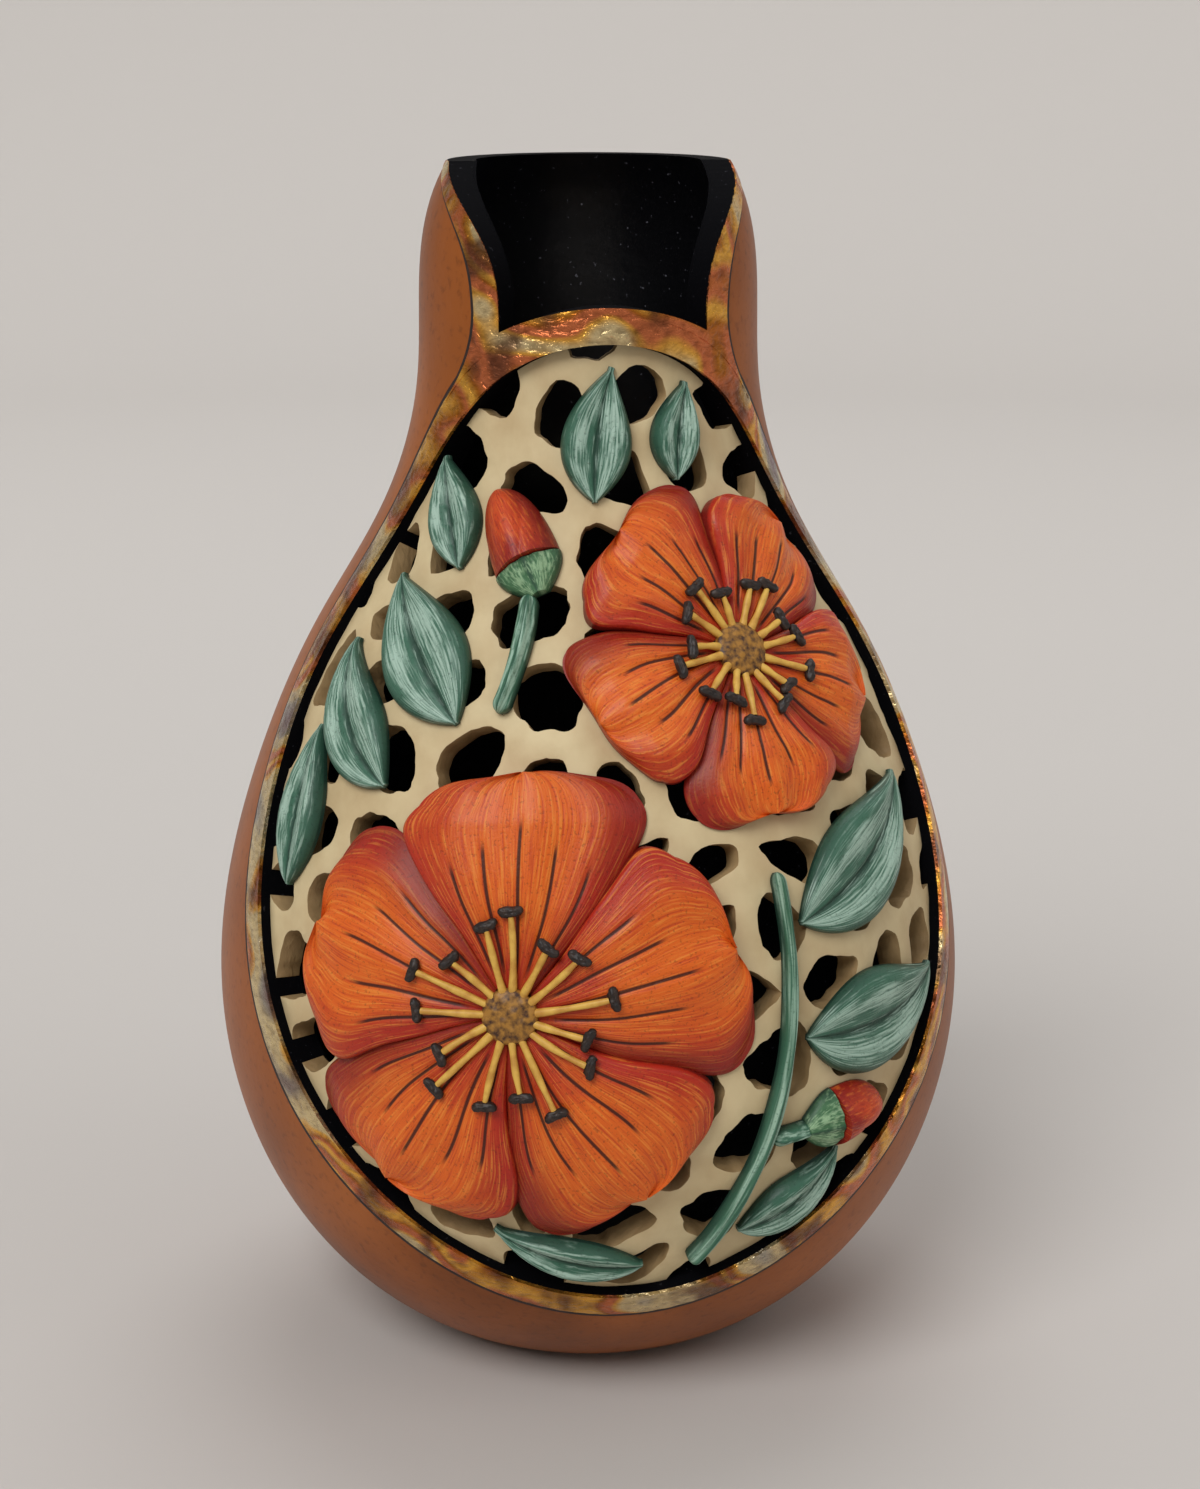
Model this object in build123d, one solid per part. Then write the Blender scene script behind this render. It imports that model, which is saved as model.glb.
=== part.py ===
from build123d import *
import math
import os
import random
from bisect import bisect_right

# Carved gourd vase in millimetres: +Z up, origin at the centre of the flat base, carved window facing -Y.
# Angles are degrees round the gourd from the window's centre line, positive to the right seen from in front.
# A lift is a distance above the outer skin, along its normal; a depth is the same distance inwards.

# Gourd profile: the radius of each station and its rise above the station below
BASE_RADIUS = 38.0
FOOT_RADIUS = 60.0
FOOT_RISE = 14.0
LOWER_BELLY_RADIUS = 78.0
LOWER_BELLY_RISE = 23.0
BELLY_RADIUS = 90.8
BELLY_RISE = 49.0
UPPER_BELLY_RADIUS = 80.3
UPPER_BELLY_RISE = 56.0
SHOULDER_RADIUS = 65.1
SHOULDER_RISE = 34.0
NECK_FOOT_RADIUS = 48.7
NECK_FOOT_RISE = 28.5
NECK_RADIUS = 40.3
NECK_RISE = 29.5
COLLAR_RADIUS = 39.3
COLLAR_RISE = 27.0
MOUTH_RADIUS = 32.6
MOUTH_RISE = 23.0

FOOT_HEIGHT = FOOT_RISE
LOWER_BELLY_HEIGHT = FOOT_HEIGHT + LOWER_BELLY_RISE
BELLY_HEIGHT = LOWER_BELLY_HEIGHT + BELLY_RISE
UPPER_BELLY_HEIGHT = BELLY_HEIGHT + UPPER_BELLY_RISE
SHOULDER_HEIGHT = UPPER_BELLY_HEIGHT + SHOULDER_RISE
NECK_FOOT_HEIGHT = SHOULDER_HEIGHT + NECK_FOOT_RISE
NECK_HEIGHT = NECK_FOOT_HEIGHT + NECK_RISE
COLLAR_HEIGHT = NECK_HEIGHT + COLLAR_RISE
HEIGHT = COLLAR_HEIGHT + MOUTH_RISE

# Wall, floor and the black coat inside
WALL = 9.0
MOUTH_WALL = 5.0
FLOOR = 10.0
LINING = 0.6

# Scoop cut down from the mouth, with an arched lower edge
SCOOP_HALF_ANGLE = 36.0
SCOOP_DEPTH = 36.0
SCOOP_CORNER_HEIGHT = HEIGHT - SCOOP_DEPTH
SCOOP_ARCH_RISE = 6.0
SCOOP_FLARE = 48.0
SCOOP_FLARE_POWER = 3.0

# Front window below the scoop: an egg with its broad end up
WINDOW_HALF_ANGLE = 75.5
WINDOW_BRIDGE = 2.0
WINDOW_CROWN = 81.0
WINDOW_TOE = 132.0
WINDOW_TOP = SCOOP_CORNER_HEIGHT - WINDOW_BRIDGE
WINDOW_WIDEST = WINDOW_TOP - WINDOW_CROWN
WINDOW_BOTTOM = WINDOW_WIDEST - WINDOW_TOE
WINDOW_CROWN_POWER = 2.4
WINDOW_TOE_POWER = 1.55

# Gilt bands round the two openings
BAND_WIDTH = 7.0
GILT = 0.4

# Pierced panel
RECESS = 3.0
PANEL_GAP = 0.2
CELL = 20.0
STRUT = 5.4
JITTER = 0.27
SOLID_SHARE = 0.72
SECTION_DROPS = (168.0, 114.0, 54.0)
SECTION_ANGLE = 25.0

# Carved pieces seated on the panel
SEAT = 0.3
EDGE_LIFT = -1.2
PETALS = 5
SEED_HEAD_RADIUS = 6.5
SEED_HEAD_LIFT = 2.2
SEED_HEAD_ROUND = 3.0
PETAL_START = 7.3
PETAL_CLEARANCE = 0.86
FILAMENTS_PER_PETAL = 3
FILAMENT_HALF_WIDTH = 0.7
ANTHER_RADIUS = 1.5

# Places of the carved pieces: an angle, and a drop below the top of the window
# Blossoms: name, angle, drop, radius, heading of the first petal
BLOSSOMS = (
    ("blossom_low", -17.0, 140.0, 55.0, 83.0),
    ("blossom_high", 27.0, 66.0, 40.0, 44.0),
)

# Leaves: name, angle and drop of the stalk end, heading, length, half width, bend over the length
LEAVES = (
    ("leaf_crown", -4.0, 34.0, 92.0, 30.0, 8.0, -20.0),
    ("leaf_crown_left", -40.5, 49.0, 116.0, 28.0, 7.0, 0.0),
    ("leaf_crown_right", 22.0, 30.0, 88.0, 22.0, 6.0, -20.0),
    ("leaf_left_high", -31.0, 80.0, 134.0, 44.0, 11.0, -14.0),
    ("leaf_left_mid", -43.0, 95.0, 152.0, 42.0, 9.0, -52.0),
    ("leaf_left_low", -61.0, 122.0, 92.0, 38.0, 7.5, 8.0),
    ("leaf_toe_left", 3.0, 204.0, 178.0, 36.0, 5.5, -22.0),
    ("leaf_toe_right", 18.5, 197.0, 14.0, 31.0, 7.0, 40.0),
    ("leaf_right_low", 27.5, 150.0, -8.0, 50.0, 12.0, 30.0),
    ("leaf_right_mid", 28.0, 124.0, 18.0, 54.0, 12.0, 30.0),
)

# Stems: name, angle and drop of the lower end, heading, length, bend over the length
STEMS = (
    ("stem_low", 11.0, 204.0, 58.0, 98.0, 34.0),
    ("stem_bud_low", 23.0, 173.0, 0.0, 6.8, 6.0),
    ("stem_bud_high", -23.0, 77.0, 74.0, 25.5, 20.0),
)
STEM_HALF_WIDTH = 2.4
STEM_LIFT = 1.0

# Buds: name, angle and drop of the stalk end, heading, length, half width
BUDS = (
    ("bud_low", 27.6, 172.6, 6.0, 23.0, 7.5),
    ("bud_high", -17.5, 53.0, 118.0, 27.0, 8.0),
)
BUD_LIFT = 5.5
CALYX_LENGTH = 8.0

PROFILE = (
    (BASE_RADIUS, 0.0),
    (FOOT_RADIUS, FOOT_HEIGHT),
    (LOWER_BELLY_RADIUS, LOWER_BELLY_HEIGHT),
    (BELLY_RADIUS, BELLY_HEIGHT),
    (UPPER_BELLY_RADIUS, UPPER_BELLY_HEIGHT),
    (SHOULDER_RADIUS, SHOULDER_HEIGHT),
    (NECK_FOOT_RADIUS, NECK_FOOT_HEIGHT),
    (NECK_RADIUS, NECK_HEIGHT),
    (COLLAR_RADIUS, COLLAR_HEIGHT),
    (MOUTH_RADIUS, HEIGHT),
)
SKIN = Spline(*[Vector(0, radius, height) for radius, height in PROFILE])
SKIN_STEPS = 480
SKIN_POINTS = [SKIN.position_at(i / SKIN_STEPS) for i in range(SKIN_STEPS + 1)]
SKIN_HEIGHTS = [p.Z for p in SKIN_POINTS]


def radius_at(height):
    """Radius of the outer skin at a height, run on straight past the two ends."""
    i = min(max(bisect_right(SKIN_HEIGHTS, height), 1), SKIN_STEPS)
    low, high = SKIN_POINTS[i - 1], SKIN_POINTS[i]
    return low.Y + (height - low.Z) * (high.Y - low.Y) / (high.Z - low.Z)


def slope_at(height):
    """Change of the skin's radius per millimetre of height."""
    return radius_at(height + 0.5) - radius_at(height - 0.5)


def frame_at(angle, height):
    """Point on the skin with its sideways, upward and outward unit vectors."""
    turn = math.radians(angle)
    radius = radius_at(height)
    point = Vector(radius * math.sin(turn), -radius * math.cos(turn), height)
    sideways = Vector(math.cos(turn), math.sin(turn), 0)
    outward = Vector(math.sin(turn), -math.cos(turn), -slope_at(height)).normalized()
    return point, sideways, outward.cross(sideways), outward


def point_at(angle, height, lift):
    """Point a lift above the skin."""
    point, _, _, outward = frame_at(angle, height)
    return point + outward * lift


def wall_at(height):
    """Wall thickness: even up to the shoulder, then thinning to the mouth."""
    share = (height - SHOULDER_HEIGHT) / (HEIGHT - SHOULDER_HEIGHT)
    return WALL + (MOUTH_WALL - WALL) * min(max(share, 0.0), 1.0)


def turned(depth, floor=0.0):
    """Solid of revolution whose side lies a depth (a function of height) inside the skin."""
    side = []
    for height in range(-16, int(HEIGHT) + 24):
        outward = Vector(0, 1, -slope_at(height)).normalized()
        side.append(Vector(0, radius_at(height), height) - outward * depth(height))
    low = level_point(side, floor)
    high = level_point(side, HEIGHT)
    between = [p for p in side[::8] if floor + 2 < p.Z < HEIGHT - 2]
    top = Vector(0, 0, HEIGHT)
    bottom = Vector(0, 0, floor)
    edges = [Line(bottom, low), Spline(low, *between, high), Line(high, top), Line(top, bottom)]
    return revolve(Face(Wire(edges)), Axis.Z, 360)


def level_point(side, height):
    """Point where a rising list of points passes a height."""
    i = next(k for k, p in enumerate(side) if p.Z > height)
    low, high = side[i - 1], side[i]
    return low + (high - low) * ((height - low.Z) / (high.Z - low.Z))


def window_outline(outset):
    """Closed list of (angle, height) round the window, moved outwards over the skin by an outset."""
    count = 32
    plain = []
    for i in range(count):
        turn = 2 * math.pi * i / count
        rise = math.sin(turn)
        if rise >= 0:
            height = WINDOW_WIDEST + WINDOW_CROWN * rise ** (2 / WINDOW_CROWN_POWER)
        else:
            height = WINDOW_WIDEST - WINDOW_TOE * (-rise) ** (2 / WINDOW_TOE_POWER)
        plain.append((WINDOW_HALF_ANGLE * math.cos(turn), height))
    return [moved(plain[i - 1], plain[i], plain[(i + 1) % count], outset) for i in range(count)]


def scoop_outline(outset, drop):
    """Right side of the scoop from its lower corner to above the mouth, as (angle, height)."""
    side = [(SCOOP_HALF_ANGLE + math.degrees(outset / NECK_RADIUS), SCOOP_CORNER_HEIGHT - drop)]
    for i in range(1, 9):
        share = i / 7
        height = SCOOP_CORNER_HEIGHT + (HEIGHT - SCOOP_CORNER_HEIGHT) * share
        angle = SCOOP_HALF_ANGLE + SCOOP_FLARE * share**SCOOP_FLARE_POWER
        side.append((angle + math.degrees(outset / NECK_RADIUS), height))
    return side


def moved(before, here, after, outset):
    """An outline point moved square to the outline, away from the opening it goes round."""
    along = (point_at(*after, 0) - point_at(*before, 0)).normalized()
    point, _, _, outward = frame_at(*here)
    shifted = point + along.cross(outward) * outset
    return math.degrees(math.atan2(shifted.X, -shifted.Y)), shifted.Z


def ribbon(edges, level):
    """Surface through the wall along a chain of outline edges, square to the skin or else level."""
    deep = []
    high = []
    for edge in edges:
        closed = len(edges) == 1
        deep.append(Spline(*[through(*p, -2 * WALL, level) for p in edge], periodic=closed))
        high.append(Spline(*[through(*p, 5, level) for p in edge], periodic=closed))
    return Shell.make_loft([Wire(deep), Wire(high)], True)


def through(angle, height, lift, level):
    """Point a lift off the skin, measured along its normal or else level."""
    if not level:
        return point_at(angle, height, lift)
    reach = radius_at(height) + lift
    turn = math.radians(angle)
    return Vector(reach * math.sin(turn), -reach * math.cos(turn), height)


def parted(layer, edges, level):
    """The two pieces of a layer that a ribbon parts, the smaller first."""
    return sorted(gathered(layer.split(ribbon(edges, level), Keep.ALL)), key=lambda piece: piece.volume)


def scoop_edges(outset, drop, rise):
    """Left side, lower edge and right side of the scoop, made larger by an outset and a drop."""
    right = scoop_outline(outset, drop)
    left = [(-angle, height) for angle, height in reversed(right)]
    reach, corner = right[0]
    arch = [(reach * i / 4, corner + rise * (1 - (i / 4) ** 2)) for i in range(-4, 5)]
    return [left, arch, right]


def across(frame, heading, offset, lift):
    """Point beside a frame in the plane square to a heading, a lift above the skin there."""
    point, sideways, upward, outward = frame
    turn = math.radians(heading)
    along = sideways * math.cos(turn) + upward * math.sin(turn)
    start = point + outward.cross(along) * offset
    drop = 0.0
    for _ in range(6):
        here = start + outward * drop
        reach = math.hypot(here.X, here.Y)
        steepness = Vector(here.X / reach, here.Y / reach, -slope_at(here.Z)).dot(outward)
        drop -= (reach - radius_at(here.Z)) / steepness
    return start + outward * (drop + lift)


def walk(angle, height, heading, distances, bend):
    """Stations (angle, height, heading) along a line that runs straight over the skin but for an even bend."""
    length = distances[-1]
    steps = 60
    stations = []
    gone = 0.0
    for distance in distances:
        stride = (distance - gone) / steps
        for _ in range(steps):
            turn = math.radians(heading)
            around = stride * math.cos(turn) / radius_at(height)
            slant = math.hypot(1, slope_at(height))
            angle += math.degrees(around)
            heading += bend * stride / length + math.degrees(around * slope_at(height) / slant)
            height += stride * math.sin(turn) / slant
        gone = distance
        stations.append((angle, height, heading))
    return stations


def strip(stations, half_width, top, seat):
    """Carved strip lofted along stations: the underside follows the gourd, the top is cut to its own lifts."""
    count = len(stations) - 1
    wires = []
    for i, (angle, height, heading) in enumerate(stations):
        share = i / count
        frame = frame_at(angle, height)
        width = half_width(share)
        under = [across(frame, heading, width * v, seat(share)) for v in (-1, -0.5, 0, 0.5, 1)]
        over = [across(frame, heading, width * v, top(share, v)) for v in (1, 0.5, 0, -0.5, -1)]
        edges = [Spline(*under), Line(under[-1], over[0]), Spline(*over), Line(over[-1], under[0])]
        wires.append(Wire(edges))
    return Solid.make_loft(wires, False)


def eased(share):
    """Share of a length with the stations drawn together towards both ends."""
    return 0.5 - 0.5 * math.cos(math.pi * share)


def panel_seat(share):
    """Lift of the underside of a piece that sits on the pierced panel."""
    return -RECESS + SEAT


def throat_lift(distance):
    """Lift of a petal's face near the blossom's centre: a shallow funnel."""
    return -1.4 + 2.6 * min(distance / 24.0, 1.0)


def petal(angle, height, heading, radius):
    """One broad rounded petal, its left edge carved higher than its right as if it lay over the next."""
    reach = radius - PETAL_START
    distances = [PETAL_START + reach * eased(i / 9) for i in range(10)]
    stations = walk(angle, height, heading, distances, 14.0)
    wedge = math.tan(math.pi / PETALS) * PETAL_CLEARANCE

    def half_width(share):
        run = eased(share)
        rounding = math.sqrt(max(1 - run**7, 0.0))
        return max((PETAL_START + reach * run) * wedge * rounding, 0.7)

    def top(share, v):
        run = eased(share)
        flat = throat_lift(PETAL_START + reach * run)
        fall = 1.5 * max(run - 0.75, 0.0) / 0.25
        return flat + min(run * 2, 1.0) * (1.3 * v + 0.9 * (1 - v * v)) - fall

    return strip(stations, half_width, top, panel_seat)


def seed_head(angle, height):
    """Low round button at the centre of a blossom."""
    point, sideways, _, outward = frame_at(angle, height)
    seat = -RECESS + SEAT + 0.3
    plane = Plane(origin=point + outward * seat, x_dir=sideways, z_dir=outward)
    button = Solid.make_cylinder(SEED_HEAD_RADIUS, SEED_HEAD_LIFT - seat, plane)
    crown = max(button.edges(), key=lambda edge: (edge.center() - point).dot(outward))
    return button.fillet(SEED_HEAD_ROUND, [crown])


def stamens(angle, height, heading, radius):
    """Filaments fanned over the petals from the seed head, and the anther at the end of each."""
    filaments = []
    anthers = []
    count = PETALS * FILAMENTS_PER_PETAL
    for i in range(count):
        fan = heading + 360.0 * (i - (FILAMENTS_PER_PETAL - 1) / 2) / count
        length = radius * (0.3 + 0.05 * (i * 2 % 3))
        start = SEED_HEAD_RADIUS + SEAT
        stations = walk(angle, height, fan, [start + (length - start) * k / 4 for k in range(5)], 8.0)

        def under(share):
            return throat_lift(start + (length - start) * share) + 0.45 + 1.8 * share

        def over(share, v):
            return under(share) + 1.0 + 0.3 * (1 - v * v)

        filaments.append(strip(stations, lambda share: FILAMENT_HALF_WIDTH, over, under))
        tip = walk(angle, height, fan, [length + ANTHER_RADIUS + 0.3], 8.0)[0]
        centre = point_at(tip[0], tip[1], under(1.0) + 0.6)
        anthers.append(Pos(centre) * Sphere(ANTHER_RADIUS))
    return filaments, anthers


def leaf(angle, height, heading, length, width, bend):
    """Pointed leaf with two swelling halves and a groove down the middle."""
    stations = walk(angle, height, heading, [length * eased(i / 9) for i in range(10)], bend)

    def half_width(share):
        run = eased(share)
        return max(width * math.sin(math.pi * run**0.8), 0.7)

    def top(share, v):
        run = eased(share)
        swell = math.sin(math.pi * run) ** 0.7
        crown = 2.6 if abs(v) == 0.5 else 1.6
        return EDGE_LIFT + swell * (0.3 if abs(v) == 1 else crown)

    return strip(stations, half_width, top, panel_seat)


def stem(angle, height, heading, length, bend):
    """Round-topped stem."""
    stations = walk(angle, height, heading, [length * i / 8 for i in range(9)], bend)

    def top(share, v):
        return EDGE_LIFT + (STEM_LIFT - EDGE_LIFT) * (1 - v * v)

    return strip(stations, lambda share: STEM_HALF_WIDTH, top, panel_seat)


def bud(angle, height, heading, length, width):
    """Closed bud and the green cup that holds its lower end."""
    cup = walk(angle, height, heading, [CALYX_LENGTH * i / 4 for i in range(5)], 0.0)
    start = CALYX_LENGTH + SEAT
    body = walk(angle, height, heading, [start + (length - start) * eased(i / 8) for i in range(9)], 0.0)

    def cup_width(share):
        return STEM_HALF_WIDTH + (width - STEM_HALF_WIDTH) * math.sin(math.pi / 2 * share)

    def cup_top(share, v):
        return EDGE_LIFT + (STEM_LIFT - EDGE_LIFT + 2.2 * share) * (1 - v * v)

    def body_width(share):
        run = eased(share)
        return max(width * math.sqrt(max(1 - run**2.2, 0.0)) * 0.98, 0.7)

    def body_top(share, v):
        run = eased(share)
        swell = math.sqrt(max(1 - run**2.2, 0.0))
        return EDGE_LIFT + (BUD_LIFT - EDGE_LIFT) * swell * (1 - v * v)

    return strip(body, body_width, body_top, panel_seat), strip(cup, cup_width, cup_top, panel_seat)


def clipped(outline, x, y, limit):
    """Polygon cut back to the near side of a line at a distance from the origin along (x, y)."""
    kept = []
    for i, here in enumerate(outline):
        before = outline[i - 1]
        side_here = here[0] * x + here[1] * y - limit
        side_before = before[0] * x + before[1] * y - limit
        if side_here * side_before < 0:
            share = side_before / (side_before - side_here)
            kept.append((before[0] + share * (here[0] - before[0]), before[1] + share * (here[1] - before[1])))
        if side_here <= 0:
            kept.append(here)
    return kept


def cell_seeds():
    """Scattered (angle, height) centres of the piercings, in staggered rows with a fixed random start."""
    scatter = random.Random(11)
    seeds = []
    height = WINDOW_BOTTOM - CELL
    row = 0
    while height < WINDOW_TOP + CELL:
        pitch = math.degrees(CELL / radius_at(height))
        count = int(2 * (WINDOW_HALF_ANGLE + 2 * pitch) / pitch)
        for i in range(count):
            angle = (i - count / 2 + 0.5 * (row % 2)) * pitch + scatter.uniform(-JITTER, JITTER) * pitch
            seeds.append((angle, height + scatter.uniform(-JITTER, JITTER) * CELL))
        height += CELL * 0.87 / math.hypot(1, slope_at(height))
        row += 1
    return seeds


def in_window(angle, height, margin):
    """True where a place lies inside the window, or within a margin outside it."""
    if height > WINDOW_WIDEST:
        rise = max((height - WINDOW_WIDEST - margin) / WINDOW_CROWN, 0.0)
        power = WINDOW_CROWN_POWER
    else:
        rise = max((WINDOW_WIDEST - height - margin) / WINDOW_TOE, 0.0)
        power = WINDOW_TOE_POWER
    spread = WINDOW_HALF_ANGLE * math.sqrt(max(1 - rise**power, 0.0))
    return rise < 1 and abs(angle) < spread + math.degrees(margin / radius_at(height))


def under_blossom(angle, height):
    """True where the panel is left solid behind the middle of a blossom."""
    place = point_at(angle, height, 0)
    for _, middle, drop, radius, _ in BLOSSOMS:
        if (place - point_at(middle, WINDOW_TOP - drop, 0)).length < SOLID_SHARE * radius:
            return True
    return False


def piercings():
    """Rounded prisms for the panel's openings, each cut square to the gourd at its own centre."""
    seeds = cell_seeds()
    places = [point_at(*seed, 0) for seed in seeds]
    prisms = []
    for seed, place in zip(seeds, places):
        if not in_window(*seed, 0.45 * CELL) or under_blossom(*seed):
            continue
        _, sideways, upward, outward = frame_at(*seed)
        outline = [(-CELL, -CELL), (CELL, -CELL), (CELL, CELL), (-CELL, CELL)]
        for other in places:
            apart = (other - place).length
            if 0 < apart < 2.6 * CELL:
                x = (other - place).dot(sideways)
                y = (other - place).dot(upward)
                flat = math.hypot(x, y)
                outline = clipped(outline, x / flat, y / flat, apart / 2 - STRUT / 2)
        plane = Plane(origin=place - outward * (WALL + 4), x_dir=sideways, z_dir=outward)
        hole = Face(Wire(Polyline(*outline, close=True).edges()))
        prisms.append(plane * extrude(hole, WALL + 6, dir=(0, 0, 1)))
    return prisms


def panel_sections(cavity):
    """The pierced panel in butted sections, split level by level and then left, middle and right."""
    layer = turned(lambda height: RECESS) - cavity
    panel = parted(layer, [window_outline(-PANEL_GAP)], False)[0] - piercings()
    names = ("toe", "belly", "shoulder", "crown")
    levels = []
    rest = panel
    for drop in SECTION_DROPS:
        rest, low = rest.split(Plane(origin=(0, 0, WINDOW_TOP - drop), z_dir=(0, 0, 1)), Keep.BOTH)
        levels.append(low)
    levels.append(rest)
    sections = {}
    turn = math.radians(SECTION_ANGLE)
    left_cut = Plane(origin=(0, 0, 0), z_dir=(math.cos(turn), -math.sin(turn), 0))
    right_cut = Plane(origin=(0, 0, 0), z_dir=(math.cos(turn), math.sin(turn), 0))
    middle_cut = Plane(origin=(0, 0, 0), z_dir=(1, 0, 0))
    for name, level in zip(names, levels):
        level = Compound(gathered(level))
        if name == "toe":
            right, left = level.split(middle_cut, Keep.BOTH)
            sections[f"fretwork_{name}_left"] = left
            sections[f"fretwork_{name}_right"] = right
        else:
            right, rest = level.split(right_cut, Keep.BOTH)
            middle, left = Compound(gathered(rest)).split(left_cut, Keep.BOTH)
            sections[f"fretwork_{name}_left"] = left
            sections[f"fretwork_{name}_middle"] = middle
            sections[f"fretwork_{name}_right"] = right
    return sections


def gathered(shape):
    """Every solid in a shape or a list of shapes."""
    shapes = shape if isinstance(shape, (list, tuple)) else [shape]
    return [solid for item in shapes for solid in item.solids()]


def save(shape, name):
    """Write one node, as one solid or as a group of them."""
    solids = gathered(shape)
    export_step(solids[0] if len(solids) == 1 else Compound(solids), f"parts/{name}.step")


os.makedirs("parts", exist_ok=True)

body = turned(lambda height: 0.0)
cavity = turned(wall_at, FLOOR)
bare = turned(lambda height: wall_at(height) + LINING, FLOOR + LINING)
window = [window_outline(0.0)]
scoop = scoop_edges(0.0, 0.0, SCOOP_ARCH_RISE)
for layer, name in ((body - cavity, "gourd_shell"), (cavity - bare, "inner_lining")):
    pierced = parted(layer, window, False)[1]
    save(parted(pierced, scoop, True)[1], name)

gilt = turned(lambda height: -GILT) - body
window_edge = [window_outline(BAND_WIDTH)]
save(parted(parted(gilt, window_edge, False)[0], window, False)[0], "gilt_window_band")
neck_patch = parted(gilt, scoop_edges(BAND_WIDTH, 12.0, 0.0), True)[0]
neck_band = parted(neck_patch, scoop, True)[0]
save(max(parted(neck_band, window_edge, False), key=lambda piece: piece.center().Z), "gilt_neck_band")

for name, section in panel_sections(cavity).items():
    save([s for s in gathered(section) if s.volume > 100], name)

for name, angle, drop, radius, heading in BLOSSOMS:
    height = WINDOW_TOP - drop
    for i in range(PETALS):
        save(petal(angle, height, heading + i * 360.0 / PETALS, radius), f"{name}_petal_{i + 1}")
    save(seed_head(angle, height), f"{name}_seed_head")
    filaments, anthers = stamens(angle, height, heading, radius)
    save(filaments, f"{name}_filaments")
    save(anthers, f"{name}_anthers")

for name, angle, drop, *form in LEAVES:
    save(leaf(angle, WINDOW_TOP - drop, *form), name)
for name, angle, drop, *form in STEMS:
    save(stem(angle, WINDOW_TOP - drop, *form), name)
for name, angle, drop, *form in BUDS:
    closed, cup = bud(angle, WINDOW_TOP - drop, *form)
    save(closed, name)
    save(cup, f"{name}_calyx")
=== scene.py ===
"""Carved gourd vase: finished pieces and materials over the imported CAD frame.

Shapes are worked out in millimetres on the gourd's skin and become metres when a mesh is written.
Angles are degrees round the gourd from the window's centre line, positive to the right seen from in front.
A lift is a distance above the skin along its normal.
"""

import logging
import math
import random
from collections.abc import Callable, Iterator, Sequence
from contextlib import contextmanager
from dataclasses import dataclass
from enum import Enum

import bpy
import numpy as np
from mathutils import Matrix, Vector, geometry, kdtree, noise


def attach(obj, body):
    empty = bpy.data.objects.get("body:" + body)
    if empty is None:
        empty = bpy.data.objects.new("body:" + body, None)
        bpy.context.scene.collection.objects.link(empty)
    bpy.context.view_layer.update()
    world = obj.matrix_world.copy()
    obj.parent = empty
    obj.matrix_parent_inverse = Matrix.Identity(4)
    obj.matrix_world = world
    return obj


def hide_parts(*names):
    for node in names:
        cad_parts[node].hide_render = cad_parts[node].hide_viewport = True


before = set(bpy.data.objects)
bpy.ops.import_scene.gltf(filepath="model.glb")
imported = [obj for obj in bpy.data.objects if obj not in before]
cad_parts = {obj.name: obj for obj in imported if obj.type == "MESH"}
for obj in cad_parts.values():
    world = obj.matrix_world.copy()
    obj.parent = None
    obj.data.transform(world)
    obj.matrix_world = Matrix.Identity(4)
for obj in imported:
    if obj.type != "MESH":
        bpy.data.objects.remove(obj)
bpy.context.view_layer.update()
LOG = logging.getLogger("carved_gourd")
MM = 0.001

# Gourd profile (radius, height) from the base to the mouth
PROFILE = (
    (38.0, 0.0),
    (60.0, 14.0),
    (78.0, 37.0),
    (90.8, 86.0),
    (80.3, 142.0),
    (65.1, 176.0),
    (48.7, 204.5),
    (40.3, 234.0),
    (39.3, 261.0),
    (32.6, 284.0),
)
HEIGHT = PROFILE[-1][1]
SHOULDER_HEIGHT = 176.0
NECK_RADIUS = 40.3
WALL = 9.0
MOUTH_WALL = 5.0
FLOOR = 10.0
LINING = 0.6

# Front window and the scoop at the mouth
WINDOW_HALF_ANGLE = 75.5
WINDOW_BOTTOM = 33.0
WINDOW_WIDEST = 165.0
WINDOW_TOP = 246.0
WINDOW_CROWN_POWER = 2.4
WINDOW_TOE_POWER = 1.55
SCOOP_HALF_ANGLE = 36.0
SCOOP_CORNER_HEIGHT = 248.0
SCOOP_ARCH_RISE = 6.0
SCOOP_FLARE = 48.0
SCOOP_FLARE_POWER = 3.0
SCOOP_FOOT_TOP = 252.0
SCOOP_FOOT_FLARE = 14.0
SCOOP_FOOT_CLEARANCE = 0.5
SCOOP_OVERRUN = 8 / 7

# Gilt bands and the burnt line outside them
BAND_WIDTH = 7.0
GILT = 0.4
BURNT_WIDTH = 1.0
LEAF_LAP = 0.6
LEAF_EDGE = 0.06
LEAF_TURN = 0.7

# Pierced panel
RECESS = 3.0
PANEL_GAP = 0.2
CELL = 20.0
STRUT = 5.4
JITTER = 0.27

# Carved pieces
SEAT_LIFT = -2.7
EDGE_LIFT = -1.2
LEAST_THICKNESS = 0.3
LEAST_HALF_WIDTH = 0.7
PETALS = 5
PETAL_ROOT = 5.4
PETAL_CLEARANCE = 0.86
THROAT_LIFT = -1.4
THROAT_RISE = 2.6
THROAT_REACH = 24.0
SEED_HEAD_RADIUS = 6.5
SEED_HEAD_LIFT = 2.2
FILAMENTS_PER_PETAL = 3
FILAMENT_RADIUS = 0.9
ANTHER_HALF_LENGTH = 2.9
ANTHER_HALF_WIDTH = 1.1
VEINS_ACROSS = 3
VEIN_WAVE = 0.03
VEIN_TURN = 5.0
STEM_HALF_WIDTH = 2.4
STEM_LIFT = 1.0
BUD_LIFT = 5.5
CALYX_LENGTH = 8.0

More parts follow.
